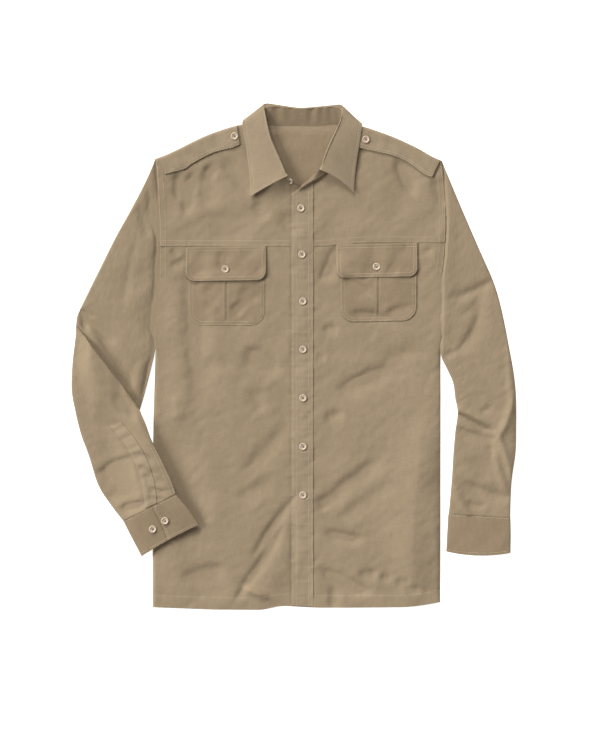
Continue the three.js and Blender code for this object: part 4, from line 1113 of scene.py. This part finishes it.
def strip_groove(x, y):
    """The groove beside the strip's outer edge."""
    (dx, dy), length = STRIP_WAY, np.hypot(*STRIP_WAY)
    t = ((x - STRIP["x1"]) * dx + (y - STRIP["y1"]) * dy) / length**2
    off = ((y - STRIP["y1"]) * dx - (x - STRIP["x1"]) * dy) / length
    beside = off - STRIP["bow"] * 4 * t * (1 - t) + STRIP["width"] / 2
    return 1.4 * ease(-6, 0, beside) * ease(4, 0, beside) * ease(0.1, 0.4, t) * ease(1.1, 0.95, t)


def sleeve_top(x, y, t, s):
    return sleeve_relief(x, y) - strip_groove(x, y)


def from_armhole(x, y, t, s):
    """The right sleeve falls towards the body's edge, which laps over it. The left one swells a
    little beside that edge and dips under it. Neither sinks into its own lower layer."""
    beside = np.minimum(np.abs(x - side_x("left", y)), np.abs(x - side_x("right", y)))
    falls = 0.6 * ease(46, 0, beside) + 2.0 * ease(13, 0, beside)
    rises = 1.6 * ease(5, 0, beside) - 0.9 * ease(26, 4, beside)
    low = np.where(x < 0, falls * ease(-60, -5, y), rises * ease(-20, 40, y))
    return np.maximum(sleeve_relief(x, y) - low - 1.2 * ease(0.055, 0, t), -4.6)


def to_elbow(x, y, t, s):
    """The upper arm also sinks where the forearm is folded over it."""
    return np.maximum(from_armhole(x, y, t, s) - 2.6 * ease(0.84, 0.93, t), -3.6)


hanging, upper, lower = ("open", "tucked"), ("open", "folded"), ("folded", "tucked")
tube("cloth_sleeve_left", LEFT_SLEEVE, 290, -1, "sleeve_left", hanging, from_armhole)
tube("cloth_upper_arm", RIGHT_UPPER_ARM, 120, 1, "sleeve_right", upper, to_elbow)
tube("cloth_forearm", RIGHT_FOREARM, 150, 1, "sleeve_right", lower, sleeve_top, forearm_rest)

# %% [markdown]
# ## Cuffs and the sleeve placket
# A cuff is two layers of lined cloth, firmer than the sleeve, closed by two buttons. The right
# cuff's upper end laps over the lower one. The sleeve's opening above it is finished by a strip.

# %% Cuffs
CUFF_TALL, CUFF_ROWS = 60, (2.2, 54)
CUFF_LAP = dict(at_seam=0.57, at_hem=0.48, step=0.7, run=0.005)


def cuff_relief(x, y, t, s):
    """A gentle bow, a furrow under each row of stitches, and gathers at the seam."""
    down = t * CUFF_TALL
    rows = furrow(down - CUFF_ROWS[0]) + furrow(down - CUFF_ROWS[1], 0.18)
    return 0.25 * ripples(x, y, 45, 81) - rows + 0.25 * gathers(s * 100, down, 82, reach=9)


def right_cuff_relief(x, y, t, s):
    """The same with the upper end's step, on a line that runs slightly askew."""
    edge = CUFF_LAP["at_seam"] + t * (CUFF_LAP["at_hem"] - CUFF_LAP["at_seam"])
    lap = CUFF_LAP["step"] * ease(-CUFF_LAP["run"], CUFF_LAP["run"], s - edge)
    groove = 0.9 * np.exp(-(((s - edge + 0.016) / 0.014) ** 2))
    return cuff_relief(x, y, t, s) + lap - groove


lined = dict(ends=("open", "open"), finish=KHAKI_PATCH, thickness=1.1)
tube("cloth_cuff_left", LEFT_CUFF, 44, -1, "cuff_left", relief=cuff_relief, **lined)
by_lap = ring_shares(50, 22, np.linspace(0.465, 0.59, 26))
lined.update(relief=right_cuff_relief, rest=forearm_rest, ring=by_lap)
tube("cloth_cuff_right", RIGHT_CUFF, 44, 1, "cuff_right", **lined)

# %% Sleeve placket
def forearm_top(x, y):
    return forearm_rest(x, y) + SLEEVE_TALL + sleeve_relief(x, y)


def strip_place(t, off):
    """A point at a share t along the strip's middle line and off to its side, in millimetres."""
    (dx, dy), length = STRIP_WAY, np.hypot(*STRIP_WAY)
    off = off - STRIP["bow"] * 4 * t * (1 - t)
    return STRIP["x1"] + t * dx + dy / length * off, STRIP["y1"] + t * dy - dx / length * off


half, long = STRIP["width"] / 2, STRIP["long"]
across = half - between_edges(2 * half, 1.6)
t, off = np.meshgrid(between_edges(long, 2.2) / long, across, indexing="ij")
x, y = strip_place(t, off)
edge = np.minimum(half - np.abs(off), np.minimum(t, 1 - t) * long)
side_step = 0.12 + 0.4 * ease(0, 8, off)
z = forearm_top(x, y) + side_step * (1 - rounded(edge, 1.1)) - furrow(edge - 1.8)
z = z + 0.22 * gathers(t * long, off, 83, pitch=13, reach=12) * ease(0, 3, edge)
weave, node = stack(off, t * long), "sleeve_placket_right"
cloth("cloth_sleeve_placket", stack(x, y, z), weave, node, KHAKI_FIRM)

# %% [markdown]
# ## The collar
# A collar is a stand, sewn to the neckline, and a leaf that is folded over it. Lying down, the
# front points spread over the chest and the back folds behind the neck. Its section is a roll: up
# the stand, round a tight fold and down the leaf, so the leaf's surface starts at the stand's top.

# %% Collar tables
COLLAR_LEAF = table(
    "foldX foldY foldZ edgeX edgeY edgeZ drop",
    (-17.6, 296.6, 19.5, -79.3, 263.4, 9.4, 1),
    (-24, 314, 17.6, -79.7, 288, 8.2, 1),
    (-33, 336, 16, -83, 322, 7.6, 1),
    (-43, 359, 14.6, -87, 350, 8.7, 1),
    (-49.5, 383, 14, -91, 373, 9.2, 1),
    (-54, 404, 12.4, -92.5, 387, 8.4, 1),
    (-57, 416.5, 10, -90, 392.5, 3.5, 1.2),
    (-51, 418.5, 9.6, -84, 388, 0.4, 2),
    (-42, 417.5, 9.4, -72, 376, 0, 2.8),
    (-22, 414.5, 9.2, -38, 368, 0, 3.4),
    (4, 411.5, 9, 4, 365, 0, 3.4),
    (34, 413.5, 9.2, 48, 367, 0, 3.4),
    (60, 416, 9.4, 85, 373, 0, 2.8),
    (70, 416.5, 9.6, 98, 384.5, 0.4, 2),
    (75.5, 412, 10.4, 105, 386.5, 4, 1.2),
    (72.5, 401, 12.6, 106.5, 380, 10.2, 1),
    (68, 386, 14.2, 104.5, 367, 10.4, 1),
    (61, 371, 14.6, 102, 349, 10, 1),
    (51, 350, 15.2, 98, 325, 8.4, 1),
    (43, 330, 16, 95, 300, 7.8, 1),
    (38, 306.8, 17.5, 93, 269.6, 9, 1),
)
COLLAR_STAND = table(
    "seamX seamY seamZ topX topY topZ",
    (4, 278.6, 5.2, 6.6, 281.4, 6.2),
    (-21, 295, 15.6, -16.6, 299, 17.8),
    (-54, 308, 5.4, -36, 326, 10),
    (-72, 345, 5.4, -49.5, 362, 11),
    (-78.6, 368, 5.2, -55, 391, 11),
    (-79.5, 380, 4.6, -57, 402, 10.6),
    (-75, 384, 3.4, -54.5, 410, 10.4),
    (-62, 382.6, 1.8, -45, 414, 10.2),
    (-32, 378, 1.2, -24, 412.6, 10),
    (3, 378, 1.2, 3, 410, 9.8),
    (38, 378, 1.2, 34, 411.8, 10),
    (64, 382.6, 1.8, 60, 413.2, 10.2),
    (76, 383.5, 3.4, 70, 409, 10.4),
    (79.5, 379, 4.8, 72, 399, 10.8),
    (78.8, 368, 5.4, 70, 386, 11.4),
    (73, 347, 5.8, 60.5, 361, 11.6),
    (58, 317, 6, 49, 335, 11.4),
    (40, 299.5, 6.4, 38.5, 314, 11),
    (21, 288.5, 8.4, 24.5, 298.5, 8),
    (2, 276.3, 8.2, 6.4, 283.4, 7.4),
)


# %% Collar surfaces
COLLAR_ROUND, LEAF_TALL, STAND_TALL = 420, 60, 33


def nearest_stand_top(x, y):
    """For each point of the fold, the nearest point of the stand's top edge."""
    top = along(COLLAR_STAND, np.linspace(0, 1, 900))
    apart = (x[:, None] - top["topX"]) ** 2 + (y[:, None] - top["topY"]) ** 2
    found = apart.argmin(1)
    kernel = np.ones(9) / 9
    columns = []
    for name in ("topX", "topY", "topZ"):
        padded = np.pad(top[name][found], 4, mode="edge")
        columns.append(np.convolve(padded, kernel, "valid"))
    return columns


def leaf_point(t, s):
    """s from -1 at the stand's top to 0 on the fold is a quarter ellipse; from 0 to 1 at the free
    edge the leaf falls by 1 - s^1.5 in front and by (1 - s)^drop behind the neck."""
    row = along(COLLAR_LEAF, t)
    stand = [c[:, None] for c in nearest_stand_top(row["foldX"][:, 0], row["foldY"][:, 0])]
    out = np.clip(s, 0, 1)
    back = np.clip(-s, 0, 1) * np.pi / 2
    behind = ease(1, 2, row["drop"])
    fall = (1 - behind) * (1 - out**1.5) + behind * (1 - out) ** row["drop"]
    x = row["foldX"] + out * (row["edgeX"] - row["foldX"])
    y = row["foldY"] + out * (row["edgeY"] - row["foldY"])
    curl = 4 * out * (1 - out) * (4.5 * ease(0.93, 1, t) + 1.2 * ease(0.05, 0, t))
    x, y = x + 0.2 * curl * np.sign(x), y + curl
    x = x + np.sin(back) * (stand[0] - row["foldX"])
    y = y + np.sin(back) * (stand[1] - row["foldY"])
    z = row["edgeZ"] + (row["foldZ"] - row["edgeZ"]) * fall
    z = z + (1 - np.cos(back)) * (stand[2] - row["foldZ"])
    reach = np.hypot(row["edgeX"] - row["foldX"], row["edgeY"] - row["foldY"])
    from_edge_mm = np.minimum((1 - out) * reach, np.minimum(t, 1 - t) * COLLAR_ROUND)
    front = 1 - behind
    z = z - front * (furrow(from_edge_mm - 6, 0.2, 1.1) + 0.7 * rounded(from_edge_mm, 1.3))
    wave = 0.35 * ripples(x, y, 46, 91) * ease(0, 0.25, out) * front
    return x, y, np.maximum(z + wave, 0.75)


by_end, by_edge = EDGE_STEPS / COLLAR_ROUND, EDGE_STEPS / LEAF_TALL
t = np.r_[by_end, np.linspace(0.012, 0.988, 200), 1 - by_end[::-1]][:, None]
s = np.r_[np.linspace(-1, 0, 9)[:-1], np.linspace(0, 0.93, 30), 1 - by_edge[::-1]][None, :]
x, y, z = (c.T for c in leaf_point(t, s))
weave = stack(t.T * COLLAR_ROUND, s.T * LEAF_TALL)
cloth("cloth_collar_leaf", stack(x, y, z), weave, "collar_leaf", KHAKI_FIRM, 1.3, held="folded")

t, s = np.linspace(0, 1, 260)[None, :], np.linspace(-0.3, 1, 26)[:, None]
row = along(COLLAR_STAND, t)
x, y, z = (row[f"seam{c}"] + s * (row[f"top{c}"] - row[f"seam{c}"]) for c in "XYZ")
z = z + 0.9 * gathers(x, (1 - s) * 30, 92, pitch=17, reach=30) * ease(0.1, 0.5, s)
z = np.maximum(z - 1.6 * ease(0.02, -0.12, s), 1.02)  # its turned edge lies on the table
weave = stack(t * COLLAR_ROUND, s * STAND_TALL)
cloth("cloth_collar_stand", stack(x, y, z), weave, "collar_stand", KHAKI_PATCH, 1.0)

# %% [markdown]
# ## Stitches
# The seams are topstitched at about 8 stitches to 25 mm. Each stitch could be a bent tube, but
# there are thousands, so each is a stretched octahedron of 8 faces, laid along its line and sunk
# into its furrow. A line is a list of points on the plan, and the piece's own height function
# carries it.

# %% Stitch helper
STITCH = dict(pitch=3.3, length=2.5, width=1.05, tall=1.0)


def stitches(name, lines):
    """One octahedron for each stitch on a list of lines, each an array of points in millimetres."""
    tips = np.array([(-1, 0, 0), (0, -1, 0), (0, 0, 1), (0, 1, 0), (0, 0, -1), (1, 0, 0)])
    size = np.array([STITCH["length"], STITCH["width"], STITCH["tall"]]) / 2
    faces = np.array(
        [(0, 2, 1), (0, 3, 2), (0, 4, 3), (0, 1, 4), (5, 1, 2), (5, 2, 3), (5, 3, 4), (5, 4, 1)]
    )
    points = []
    for line in lines:
        run = np.concatenate([[0], np.cumsum(np.linalg.norm(np.diff(line, axis=0), axis=1))])
        at = np.arange(STITCH["pitch"] / 2, run[-1], STITCH["pitch"])
        here, ahead = (
            np.stack([np.interp(at + d, run, line[:, k]) for k in range(3)], 1) for d in (-0.8, 0.8)
        )
        way = ahead - here
        way /= np.linalg.norm(way, axis=1, keepdims=True)
        across = np.stack([-way[:, 1], way[:, 0], 0 * way[:, 0]], 1)
        across /= np.linalg.norm(across, axis=1, keepdims=True)
        frames = np.stack([way, across, np.cross(way, across)], 1)
        points.append((here + ahead)[:, None] / 2 + np.einsum("vk,nkc->nvc", tips * size, frames))
    points = np.concatenate(points)
    number = np.arange(len(points))[:, None, None] * 6 + faces
    piece = mesh_object(name, points, number.reshape(-1, 3), THREAD_PAINTED_HIGHLIGHT)
    print(f"{name}: {len(points)} stitches")


def on_front(x, y, height, lift=0.24):
    """A line on the plan, carried by a piece's height."""
    x, y = np.broadcast_arrays(x, y)
    return np.stack([x, y, height(x, y) + lift], 1)


# %% Stitch lines of the body
lines = []
wide = np.linspace(-238, 233, 400)
for part in (wide[wide < PLACKET_LEFT - 1], wide[wide > PLACKET_RIGHT + 1]):
    lines.append(on_front(part, hem_y(part) + 20, lower_height, -0.1))
    for up in (2, 9):
        lines.append(on_front(part * 0.985, chest_y(part) + up, yoke_height))
for at in PLACKET_ROWS:
    y = np.linspace(-415, float(placket_top(np.array(at))) - 2, 500)
    lines.append(on_front(at, y, placket_height))
for side, turn in (("right", 1), ("left", -1)):
    y = np.linspace(ARMHOLES[side]["under_y"] + 2, ARMHOLES[side]["top_y"] - 4, 200)
    y = y[y > chest_y(np.array(200.0 * -turn)) - 1]
    for inside in (1.8, 9.5):
        lines.append(on_front(side_x(side, y) + turn * inside, y, yoke_height))
    y = np.linspace(ARMHOLES[side]["under_y"] + 2, 182, 60)
    for inside in (1.8, 9.5):
        lines.append(on_front(side_x(side, y) + turn * inside, y, lower_height))
stitches("stitches_body", lines)


# %% Stitch lines of the pockets, flaps and straps
def patch_line(patch, inset):
    """The outline of a patch moved inwards, from its top right down round its bottom and up."""
    half = patch["width"] / 2 - inset
    corner = patch["corner"] - inset
    turn = np.linspace(0, np.pi / 2, 14)
    tall = patch["top"] - patch["bottom"]
    side_y = np.linspace(tall - 2, patch["corner"], 40)
    x = np.r_[np.full(40, -half), -half + corner * (1 - np.cos(turn))]
    y = np.r_[side_y, patch["corner"] - corner * np.sin(turn)]
    x = np.r_[x, np.linspace(x[-1], -x[-1], 50)[1:-1], -x[::-1]]
    y = np.r_[y, np.full(48, y[-1]), y[::-1]]
    return patch["x"] + x, patch["bottom"] + y + patch["tilt"] * x


lines = []
for side in ("right", "left"):
    for inset in (1.7, 6.6):
        x, y = patch_line(POCKETS[side], inset)
        lines.append(on_front(x, y, lambda x, y: pocket_height(side, x, y), -0.05))
    for inset in (1.6, 7):
        x, y = patch_line(FLAPS[side], inset)
        lines.append(on_front(x, y, lambda x, y: flap_height(side, x, y), 0.05))
    patch = FLAPS[side]
    for below in (1.8, 6.5):
        x = np.linspace(-patch["width"] / 2 + 2, patch["width"] / 2 - 2, 80)
        y = patch["top"] - below + patch["tilt"] * x
        lines.append(on_front(x + patch["x"], y, lambda x, y: flap_height(side, x, y)))
    for low in (1.6, 6):
        t = np.linspace(0.015, 0.96, 120)
        s = np.full(120, low / STRAP_WIDE)
        x, y = strap_plan(side, t, s)
        lines.append(np.stack([x, y, strap_height(side, x, y, t, s) + 0.16], 1))
stitches("stitches_patches", lines)


# %% Stitch lines of the sleeves, cuffs and collar
def tube_line(sections, t, s, turn, rest, relief):
    """A line on the upper side of a flattened tube."""
    t, s = np.broadcast_arrays(np.asarray(t, float), np.asarray(s, float))
    x, y, z = tube_point(sections, t, s, np.ones(t.shape, bool), turn, rest, relief)
    return np.stack([x, y, z + 0.16], 1)


lines = []
run = np.linspace(0.02, 0.98, 120)
cuffs = (
    (LEFT_CUFF, -1, on_table, cuff_relief),
    (RIGHT_CUFF, 1, forearm_rest, right_cuff_relief),
)
for sections, turn, rest, relief in cuffs:
    for down in CUFF_ROWS:
        lines.append(tube_line(sections, down / CUFF_TALL, run, turn, rest, relief))
edge_t = np.linspace(0.04, 0.97, 60)
edge_s = CUFF_LAP["at_seam"] + edge_t * (CUFF_LAP["at_hem"] - CUFF_LAP["at_seam"]) + 0.03
lines.append(tube_line(RIGHT_CUFF, edge_t, edge_s, 1, forearm_rest, right_cuff_relief))
for inside in (0.02, 0.075):
    t = np.linspace(0.3, 0.99, 160)
    lines.append(tube_line(RIGHT_FOREARM, t, 1 - inside, 1, forearm_rest, sleeve_top))
for off in (half - 1.8, 1.8 - half):
    t = np.linspace(0.02, 0.98, 90)
    x, y = strip_place(t, off)
    lines.append(np.stack([x, y, forearm_top(x, y) + 0.25], 1))
stitches("stitches_sleeves", lines)

lines = []
t = np.linspace(0, 1, 600)
row = along(COLLAR_LEAF, t)
reach = np.hypot(row["edgeX"] - row["foldX"], row["edgeY"] - row["foldY"])
for low, high in ((0.0145, 0.29), (0.7, 0.9855)):
    part = t[(t > low) & (t < high)][:, None]
    s = (1 - 6 / reach[(t > low) & (t < high)])[:, None]
    x, y, z = leaf_point(part, s)
    lines.append(np.stack([x[:, 0], y[:, 0], z[:, 0] - 0.08], 1))
for end in (0.0145, 0.9855):
    s = np.linspace(0.12, 0.9, 60)[None, :]
    x, y, z = leaf_point(np.array([[end]]), s)
    lines.append(np.stack([x[0], y[0], z[0] - 0.08], 1))
stitches("stitches_collar", lines)

# %% [markdown]
# ## Buttons
# A shirt button is 12.2 mm across with a raised rim, a dished face and four holes, sewn on with a
# cross of thread. A lathe gives the rim but no holes, and booleans leave poor edges, so the face is
# a square grid bent into a disc, with each hole sunk by the same height function.

# %% Button shape
BUTTON = dict(radius=6.1, thick=2.2, dish=1.0, hole=0.95, off=1.55)


def button_points(count=61):
    """A square grid bent into a disc by x = u sqrt(1 - v^2/2), and the same for y. Its outer tenth
    turns down round the rim to the base."""
    u, v = np.meshgrid(np.linspace(-1, 1, count), np.linspace(-1, 1, count))
    x, y = u * np.sqrt(1 - v * v / 2), v * np.sqrt(1 - u * u / 2)
    out = np.hypot(x, y)
    face = np.clip(out / 0.86, 0, 1)
    turned = np.clip((out - 0.86) / 0.14, 0, 1) * np.pi / 2
    radius = BUTTON["radius"] - 0.8
    wide = face * radius + 0.8 * np.sin(np.minimum(turned * 1.6, np.pi / 2))
    from_rim = (1 - face) * radius
    z = BUTTON["thick"] - BUTTON["dish"] * ease(0.5, 1.7, from_rim)
    z = z - 0.1 * ease(0, 0.6, -from_rim + 0.3) - (1 - np.cos(turned)) * BUTTON["thick"]
    x, y = x / np.maximum(out, 1e-9) * wide, y / np.maximum(out, 1e-9) * wide
    for sx, sy in ((1, 1), (1, -1), (-1, 1), (-1, -1)):
        from_hole = np.hypot(x - sx * BUTTON["off"] * 0.707, y - sy * BUTTON["off"] * 0.707)
        z = z - 1.1 * (1 - ease(BUTTON["hole"] - 0.35, BUTTON["hole"] + 0.1, from_hole))
    return stack(x, y, z)


def close_below(points, faces):
    """A fan from the base's centre closes the open rim of a square grid."""
    rows, columns = points.shape[:2]
    number = np.arange(rows * columns).reshape(rows, columns)
    rim = np.r_[number[0], number[1:, -1], number[-1, -2::-1], number[-2:0:-1, 0]]
    centre = np.full(len(rim), rows * columns)
    fan = np.stack([np.roll(rim, -1), rim, centre], 1)
    middle = [[points[..., 0].mean(), points[..., 1].mean(), 0]]
    return np.concatenate([points.reshape(-1, 3), middle]), faces.tolist() + fan.tolist()


def thread_cross(count=9, sides=6):
    """Two bars of thread from hole to opposite hole: a tube along a low arch."""
    t = np.linspace(-1, 1, count)[:, None]
    around = np.linspace(0, 2 * np.pi, sides, endpoint=False)[None, :]
    bars = []
    for k, way in enumerate(((0.707, 0.707), (0.707, -0.707))):
        reach, thick = BUTTON["off"] * t, 0.34 * np.sqrt(1.02 - t * t)
        arch = BUTTON["thick"] - BUTTON["dish"] + 0.1 + (0.3 + 0.2 * k) * (1 - t**4)
        side = np.cos(around) * thick
        x, y = way[0] * reach - way[1] * side, way[1] * reach + way[0] * side
        bars.append(stack(x, y, arch + np.sin(around) * thick))
    return bars


grid = button_points()
BUTTON_POINTS, BUTTON_FACES = close_below(grid, grid_faces(*grid.shape[:2]))


# %% Buttons in place
def sewn_onto(name, x, y):
    """Height of the cloth that a button is sewn to."""
    side = "left" if x > 0 else "right"
    if "front" in name:
        return placket_height(x, y)
    if "pocket" in name:
        return flap_height(side, x, y)
    if "strap" in name:
        return front_height(x, y) + 2.5
    return forearm_rest(x, y) + SLEEVE_TALL + 0.2 + 0.7 * (x > -240)


threads, thread_faces = [], []
for name in BUTTONS:
    low, high = (np.array(corner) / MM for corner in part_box(name))
    x, y = (low[:2] + high[:2]) / 2
    middle = np.array([x, y, float(sewn_onto(name, x, y)) - 0.5])
    print(f"{name}: base {middle[2]:.1f} mm up, on the solid {low[2]:.1f} mm")
    piece = mesh_object(f"ivory_{name}", BUTTON_POINTS + middle, BUTTON_FACES, IVORY)
    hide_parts(name)
    for bar in thread_cross():
        start = sum(len(part) for part in threads)
        threads.append(bar.reshape(-1, 3) + middle)
        thread_faces.append(grid_faces(*bar.shape[:2], wrap=True) + start)

# %% [markdown]
# The stand's own button is half hidden under the leaf's front corner. It has no solid in the
# frame, so its place is given here: a little smaller and tilted with the stand.

# %% The stand's button, and the thread of the others
STAND_BUTTON = dict(x=-13.0, y=290.0, tilt=52, size=0.9)
tilt, way = np.radians(STAND_BUTTON["tilt"]), np.array([0.8, -0.6, 0])
up = np.array([-0.6 * np.sin(tilt), -0.8 * np.sin(tilt), np.cos(tilt)])
turned = BUTTON_POINTS @ np.stack([way, np.cross(up, way), up]) * STAND_BUTTON["size"]
x, y = STAND_BUTTON["x"], STAND_BUTTON["y"]
place = np.array([x, y, float(front_height(np.array(x), np.array(y))) - 0.4])
mesh_object("ivory_button_stand", turned + place, BUTTON_FACES, IVORY)
threads, thread_faces = np.concatenate(threads), np.concatenate(thread_faces)
mesh_object("button_thread", threads, thread_faces, THREAD_DARK)
print(f"{len(BUTTONS) + 1} buttons")

# %% [markdown]
# ## Floor, light and camera
# The shirt lies on a plain white table in soft daylight from the upper left: two low, wide lights,
# whose shadows have soft edges, and an even sky that keeps the folds from going black. The camera
# looks straight down from far away, so that nothing leans.

# %% Floor and light
made, tree = new_finish("white_table")
surface = {"Base Color": colour("F4F4F3"), "Roughness": 0.9, "Emission Strength": 0.75}
shader = add(tree, "ShaderNodeBsdfPrincipled", surface)
shader.inputs["Emission Color"].default_value = (1, 1, 1, 1)
add(tree, "ShaderNodeOutputMaterial", {"Surface": shader.outputs[0]})
table_half, table_down = 3, 0.4 * MM
corners = [(table_half * x, table_half * y) for x, y in ((-1, -1), (1, -1), (1, 1), (-1, 1))]
floor_mesh = bpy.data.meshes.new("table_top")
floor_mesh.from_pydata([(x, y, -table_down) for x, y in corners], [], [(0, 1, 2, 3)])
floor_mesh.materials.append(made)
floor = bpy.data.objects.new("table_top", floor_mesh)
bpy.context.scene.collection.objects.link(floor)

WINDOWS = table(
    "strength wide across up elevation",
    (2.66, 24, -0.97, 0.22, 30),
    (2.42, 24, -0.3, 0.95, 30),
)
for strength, wide, across, up, elevation in zip(*WINDOWS.values()):
    light = bpy.data.lights.new("window", "SUN")
    light.energy, light.angle = float(strength), float(np.radians(wide))
    lamp = bpy.data.objects.new("window", light)
    bpy.context.scene.collection.objects.link(lamp)
    lamp.rotation_euler = (float(np.radians(90 - elevation)), 0, float(np.arctan2(across, -up)))

world = bpy.data.worlds.new("sky")
bpy.context.scene.world = world
world.use_nodes = True
sky = world.node_tree.nodes["Background"]
sky.inputs["Color"].default_value = (1, 1, 1, 1)
sky.inputs["Strength"].default_value = 0.3

# %% Camera
VIEW = dict(x=3.3, y=-16.6, tall=732 * 1.66, away=4000)
camera = bpy.data.cameras.new("overhead")
camera.lens = camera.sensor_width * VIEW["away"] / VIEW["tall"]
camera.clip_end = 20
eye = bpy.data.objects.new("overhead", camera)
eye.location = (VIEW["x"] * MM, VIEW["y"] * MM, VIEW["away"] * MM)
bpy.context.scene.collection.objects.link(eye)
bpy.context.scene.camera = eye
bpy.context.scene.view_settings.view_transform = "Standard"
